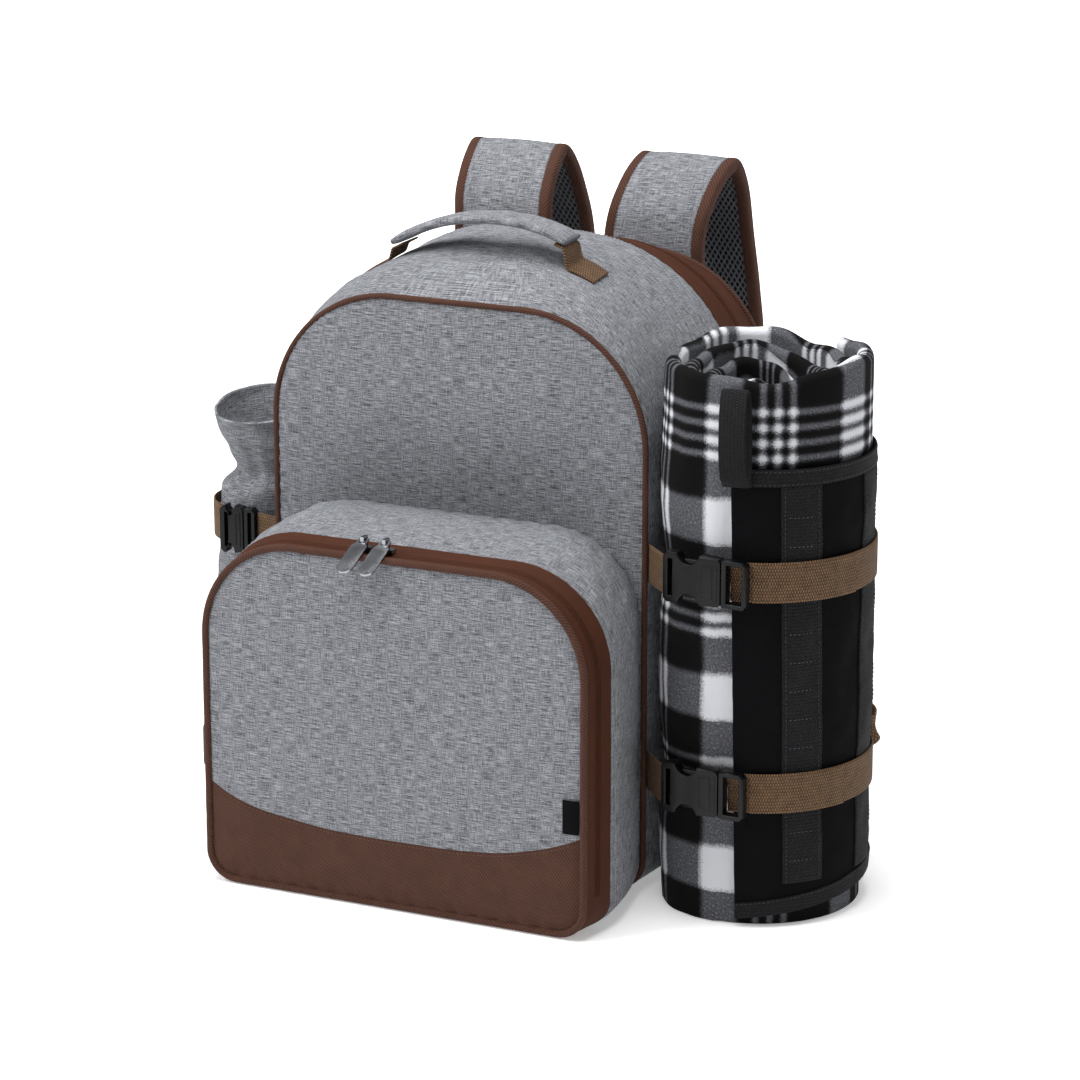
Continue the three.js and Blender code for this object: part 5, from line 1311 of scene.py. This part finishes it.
grid, uvs = roll_grid()
rows, cols = grid.shape[:2]
outward = grid[-20, 30] - np.array([ROLL_X, ROLL_Y, grid[-20, 30, 2]])
a, b = grid[-20, 31] - grid[-20, 30], grid[-19, 30] - grid[-20, 30]
blanket = surface("blanket_cloth", grid, uvs, FLEECE, flip=float(np.dot(np.cross(a, b), outward)) < 0,
                  replaces=["blanket_roll"], slot="fleece")


# Carrier flap, its hems, strips and loop
ON_FLAP = 1 + 1.6 + 0.3
STRAP_PROUD = ON_FLAP + 1.2 + 0.3


def flap_foot(share):
    return FLAP_FOOT + FLAP_RISE * np.minimum(share / 0.4, 1)


def flap_angle(share, up):
    start = -79 + (-84 + 79) * up
    return start + (138 - start) * share


def flap_relief(share, z):
    s = share * 310
    soft = 1.0 * folds(s, z, 70, 101, 0.6) + 0.4 * folds(s, z, 26, 102)
    press = sum(np.exp(-((z - at) / 24) ** 2) for at in (UPPER_STRAP_Z, LOWER_STRAP_Z))
    edge = np.clip(np.minimum(z - FLAP_FOOT, FLAP_TOP - z) / 40, 0, 1)
    return edge * (1.4 + soft) * (1 - np.clip(press, 0, 1))


def on_flap_band(name, angles, low, high, proud, thickness, columns, rows, material, node, slot):
    """A band on the flap between two angles and two heights; angles, low and high take the share along it."""
    share = np.linspace(0, 1, columns)
    up = np.linspace(0, 1, rows)
    z = low(share)[None, :] + (high(share) - low(share))[None, :] * up[:, None]
    degrees = angles(share[None, :], up[:, None]) + 0 * z
    along = (degrees + 84) / 222
    grid = on_roll(degrees, proud + thickness + flap_relief(along, z), z)
    uvs = np.stack([degrees * 1.44, z], -1)
    return thicken(name, grid, uvs, thickness, material, replaces=[node], slot=slot)


flap = on_flap_band("flap_cloth", flap_angle, flap_foot, lambda s: FLAP_TOP + 0 * s, 1, 1.6, 150, 90, BLACK,
                    "blanket_flap", "black_cloth")
on_flap_band("flap_top_binding", lambda s, u: flap_angle(s, 1) + 0 * u, lambda s: FLAP_TOP - HEM + 0 * s,
             lambda s: FLAP_TOP + 0 * s, ON_FLAP - 0.3, 1.2, 150, 10, BLACK_WEB,
             "flap_top_hem", "black_webbing")
on_flap_band("flap_bottom_binding", lambda s, u: flap_angle(s, 0) + 0 * u, flap_foot,
             lambda s: flap_foot(s) + HEM, ON_FLAP - 0.3, 1.2, 150, 10, BLACK_WEB,
             "flap_bottom_hem", "black_webbing")
STRIP_SPAN = math.degrees(WEBBING_WIDTH / ROLL_RADIUS)
STRIP_ANGLES = {"front": (-55, -59), "side": (-9, -7)}


def strip_start(word, up):
    foot, top = STRIP_ANGLES[word]
    return foot + (top - foot) * up


for word in STRIP_ANGLES:
    on_flap_band(f"flap_webbing_{word}", lambda s, u, w=word: strip_start(w, u) + STRIP_SPAN * s,
                 lambda s: FLAP_FOOT + FLAP_RISE + HEM + 0 * s, lambda s: FLAP_TOP - HEM - 0.3 + 0 * s,
                 ON_FLAP - 0.3, 1.2, 18, 90, BLACK_WEB, f"flap_strip_{word}", "black_webbing")


def flap_loop():
    rows = through(LOOP_ROWS, 8)
    angle = math.radians(-80)
    out = np.array([math.cos(angle), math.sin(angle), 0])
    across = np.array([-math.sin(angle), math.cos(angle), 0])
    start = ON_FLAP + 1.2 + 0.3 + 0.8
    path = on_roll(np.full(len(rows), -80.0), start + rows[:, 1] * 26, FLAP_TOP - HEM + rows[:, 0] * 74.5)
    run = unit(np.gradient(path, axis=0))
    normal = -np.array([0, 0, 1.0])[None, :] * (run @ out)[:, None] + out[None, :] * run[:, 2:3]
    return ribbon("flap_loop_webbing", path, np.tile(across, (len(path), 1)), unit(normal), 20, WEBBING, BLACK_WEB,
                  replaces=["flap_handle"], slot="black_webbing")


flap_loop()


# Straps round the blanket
def roll_strap(name, z, start, stop, lift, sewn_behind, node):
    degrees = np.linspace(start, stop, 110 if sewn_behind else 50)
    angle = np.radians(degrees)
    radius = ROLL_RADIUS + STRAP_PROUD + WEBBING / 2 + lift
    path = np.stack([ROLL_X + radius * np.cos(angle), ROLL_Y + radius * np.sin(angle),
                     np.full(len(angle), z)], 1)
    if sewn_behind:
        tail = [[side_at(bag_arch, y) + 1.1 + (1.5 if y < 20 else 0), y, z] for y in (18, 30, 42)]
        ahead = through(np.concatenate([path[-1:], tail]), 8)[1:]
        path = np.concatenate([path, ahead])
    run = unit(np.gradient(path, axis=0))
    up = np.tile([0.0, 0.0, 1.0], (len(path), 1))
    return ribbon(name, path, up, unit(np.cross(run, up)), WEBBING_WIDTH, WEBBING, KHAKI,
                  replaces=[node], slot="khaki_webbing")


def strap_set(word, z, tail_end):
    length = 46.5 + 0.3 + 20
    half = length / 2
    inner = ROLL_RADIUS + STRAP_PROUD + WEBBING / 2
    reach = inner + BUCKLE_THICK / 2
    angle = math.radians(-94)
    centre = np.array([ROLL_X + reach * math.cos(angle), ROLL_Y + reach * math.sin(angle)])
    along = np.array([-math.sin(angle), math.cos(angle)])

    def degrees_at(x):
        return -94 + math.degrees(math.atan(x / inner))

    straight_strap(f"roll_webbing_{word}_short", 1, z - 8, z, centre - along * (half + 1),
                   f"roll_strap_{word}_short")
    roll_strap(f"roll_webbing_{word}", z, degrees_at(-half + 50.3), 128, 0, True, f"roll_strap_{word}")
    roll_strap(f"roll_webbing_{word}_tail", z, degrees_at(half + 1), tail_end, WEBBING + 0.3, False,
               f"roll_strap_{word}_tail")
    buckle(f"roll_{word}", 46.5, 20, place(ROLL_X, ROLL_Y, z, -94, reach),
           [f"roll_buckle_{word}_female", f"roll_buckle_{word}_male"])


strap_set("upper", UPPER_STRAP_Z, -16)
strap_set("lower", LOWER_STRAP_Z, -22)


# Zip pulls: rounded metal plates on the CAD hinges; the sliders keep their CAD shape
def zip_pull(word, x):
    droop = math.radians(PULL_DROOP)
    shape = [(-4.1, 0.8), (4.1, 0.8), (4.1, -5.2), (6.2, -8.2), (6.5, -12)]
    for t in np.linspace(0, PI, 17):
        shape.append((6.5 * math.cos(t), -33.5 - 6.5 * math.sin(t)))
    shape += [(-6.5, -12), (-6.2, -8.2), (-4.1, -5.2)]
    hole = [(-2.4, -0.8), (2.4, -0.8), (2.4, -5.0), (-2.4, -5.0)]
    rim = [(-4.6, -11), (4.6, -11)]
    rim += [(4.6 * math.cos(t), -33.3 - 4.6 * math.sin(t)) for t in np.linspace(0, PI, 15)]
    parts = [plate("pull", shape, 1.6, 0.55, METAL, holes=[hole]), plate("face", rim, 2.2, 0.5, METAL)]
    pivot = Vector((x * MM, POCKET_COIL_Y * MM, PIVOT_Z * MM))
    sine, cosine = math.sin(droop), math.cos(droop)
    turn = Matrix(((1, 0, 0), (0, sine, cosine), (0, -cosine, sine))).to_4x4()
    return joined(f"pull_plate_{word}", parts, Matrix.Translation(pivot) @ turn, METAL, body=f"pull_{word}",
                  replaces=[f"zip_pull_{word}"])


for word, x in (("left", -28), ("right", -10)):
    zip_pull(word, x)


def carried(node, material):
    """A CAD node that stays in view, with its own node material."""
    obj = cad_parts[node]
    obj.data.materials.clear()
    obj.data.materials.append(material)


for node in ("zip_slider_left", "zip_slider_right", "rear_zip_slider"):
    carried(node, METAL)
for node in ("strap_adjuster_left", "strap_adjuster_right"):
    carried(node, PLASTIC)


# Stitching
def seam_on(obj, line, offset=0.0):
    """Points and normals of the nearest skin to a line, for thread to lie on."""
    hits, normals = [], []
    for point in line:
        found, spot, normal, _ = obj.closest_point_on_mesh(Vector(point) * MM)
        if found:
            hits.append(np.array(spot) / MM + np.array(normal) * offset)
            normals.append(np.array(normal))
    return np.array(hits), np.array(normals)


def arch_line(arch_at, y, start_z):
    points, normals = outline(arch_at(y))
    keep = np.nonzero(points[:, 1] > start_z)[0]
    run = slice(keep[0], keep[-1] + 1)
    return np.stack([points[run, 0], np.full(run.stop - run.start, y), points[run, 1]], 1)


def panel_line(xs, zs, y):
    return np.stack([xs, np.full(len(xs), y), zs], 1)


grey_rows = [seam_on(gusset, arch_line(bag_arch, y, 24)) for y in (REAR_BAND_Y - 2.6, REAR_BAND_Y - 8.5)]
grey_rows += [seam_on(pocket_wall, arch_line(pocket_arch, y, 24)) for y in (POCKET_BAND_Y + 2.6, POCKET_BAND_Y + 8)]
stitches("gusset_stitches", grey_rows, GREY_THREAD, radius=0.3)
seam_x = np.linspace(-150, 150, 160)
base_row = seam_on(base_band, panel_line(seam_x, base_seam(seam_x) - 2.2, -222))
stitches("base_stitches", [base_row], BROWN_THREAD, radius=0.3)


def strap_rows(word, side):
    path, normal, _ = strap_path(side)
    out = np.array([side, 0.0, 0.0])
    rows = []
    for sign in (1, -1):
        for depth, way in ((0.3, 1), (STRAP_PAD + STRAP_MESH, -1)):
            at = path + out * sign * (STRAP_WIDTH / 2 - STRAP_BINDING + 1.3) - normal * depth
            rows.append((at[2:-2] + normal[2:-2] * way * 0.25, normal[2:-2] * way))
    return rows


for word, side in (("left", -1), ("right", 1)):
    stitches(f"strap_stitches_{word}", strap_rows(word, side), BROWN_THREAD, radius=0.3)


def flap_line(angle_at, z, proud=ON_FLAP + 0.9):
    share = np.linspace(0, 1, 200)
    degrees = angle_at(share)
    height = z(share)
    along = (degrees + 84) / 222
    points = on_roll(degrees, proud + flap_relief(along, height), height)
    normals = unit(points - np.stack(np.broadcast_arrays(ROLL_X, ROLL_Y, height), -1))
    return points, normals


def strip_lines(word):
    rows = []
    low, high = FLAP_FOOT + FLAP_RISE + HEM, FLAP_TOP - HEM
    for inset_by in (0.09, 0.91):
        rows.append(flap_line(lambda s: strip_start(word, s) + STRIP_SPAN * inset_by,
                              lambda s: low + (high - low) * s))
    return rows


black_rows = strip_lines("front") + strip_lines("side")
black_rows.append(flap_line(lambda s: flap_angle(s, 1), lambda s: FLAP_TOP - HEM + 1.4 + 0 * s))
black_rows.append(flap_line(lambda s: flap_angle(s, 1), lambda s: FLAP_TOP - 1.6 + 0 * s))
black_rows.append(flap_line(lambda s: flap_angle(s, 0), lambda s: flap_foot(s) + HEM - 1.4))
stitches("flap_stitches", black_rows, BLACK_THREAD, radius=0.3)
bars = []
for k in range(13):
    z = 52 + 22 * k
    if min(abs(z - UPPER_STRAP_Z), abs(z - LOWER_STRAP_Z)) > 18:
        bars.append(flap_line(lambda s, z=z: strip_start("front", z / FLAP_TOP) + STRIP_SPAN * (0.16 + 0.68 * s),
                              lambda s, z=z: z + 0 * s))
stitches("strip_stitches", bars, PALE_THREAD, length=1.6, gap=1.6, radius=0.26)
for word, obj, x0, side in (("left", tab_left, HANDLE_LEFT, -1), ("right", tab_right, HANDLE_RIGHT, 1)):
    a, b = x0 + side * 7, x0 + side * 22
    line = []
    for x, y in ((a, -49), (b, -49), (b, -26), (a, -26), (a, -49)):
        line.append((x, y, float(bag_top(x, y)[0]) + 3))
    corners = np.array(line)
    dense = np.concatenate([corners[i] + (corners[i + 1] - corners[i]) * np.linspace(0, 1, 12)[:, None]
                            for i in range(4)])
    stitches(f"tab_stitches_{word}", [seam_on(obj, dense)], BROWN_THREAD, radius=0.3)

# Stage, light and camera
ground = bpy.data.meshes.new("ground")
ground.from_pydata([(-9, -9, 0), (9, -9, 0), (9, 9, 0), (-9, 9, 0)], [], [(0, 1, 2, 3)])
floor = bpy.data.objects.new("ground", ground)
floor.location.z = -0.0004
bpy.context.scene.collection.objects.link(floor)
ground.materials.append(floor_look())

world = bpy.data.worlds.new("studio")
bpy.context.scene.world = world
world.use_nodes = True
world.node_tree.nodes["Background"].inputs["Color"].default_value = (1.0, 1.0, 1.0, 1)
world.node_tree.nodes["Background"].inputs["Strength"].default_value = 0.3


def soft_light(name, place_at, target, size, power):
    data = bpy.data.lights.new(name, "AREA")
    data.shape = "RECTANGLE"
    data.size, data.size_y = size
    data.energy = power
    lamp = bpy.data.objects.new(name, data)
    lamp.location = place_at
    lamp.rotation_euler = (Vector(target) - Vector(place_at)).to_track_quat("-Z", "Y").to_euler()
    bpy.context.scene.collection.objects.link(lamp)


soft_light("key", (-1.8, -1.8, 2.3), (0.0, -0.1, 0.3), (1.2, 1.2), 60)
soft_light("top", (0.0, -0.3, 2.6), (0.05, -0.05, 0.3), (1.6, 1.6), 74)
soft_light("edge", (2.2, 1.4, 1.7), (0.1, 0.0, 0.25), (0.9, 1.6), 12)
soft_light("backdrop", (-1.4, 3.4, 2.4), (-1.9, 4.8, 0.0), (3.0, 3.0), 190)

lens = bpy.data.cameras.new("camera")
lens.lens = 133.4
lens.sensor_width = 36
camera = bpy.data.objects.new("camera", lens)
camera.location = (1.2915, -2.7286, 1.0989)
aim = Vector((0.0689, -0.1055, 0.2683)) - camera.location
camera.rotation_euler = aim.to_track_quat("-Z", "Y").to_euler()
bpy.context.scene.collection.objects.link(camera)
bpy.context.scene.camera = camera
bpy.context.scene.view_settings.view_transform = "Standard"
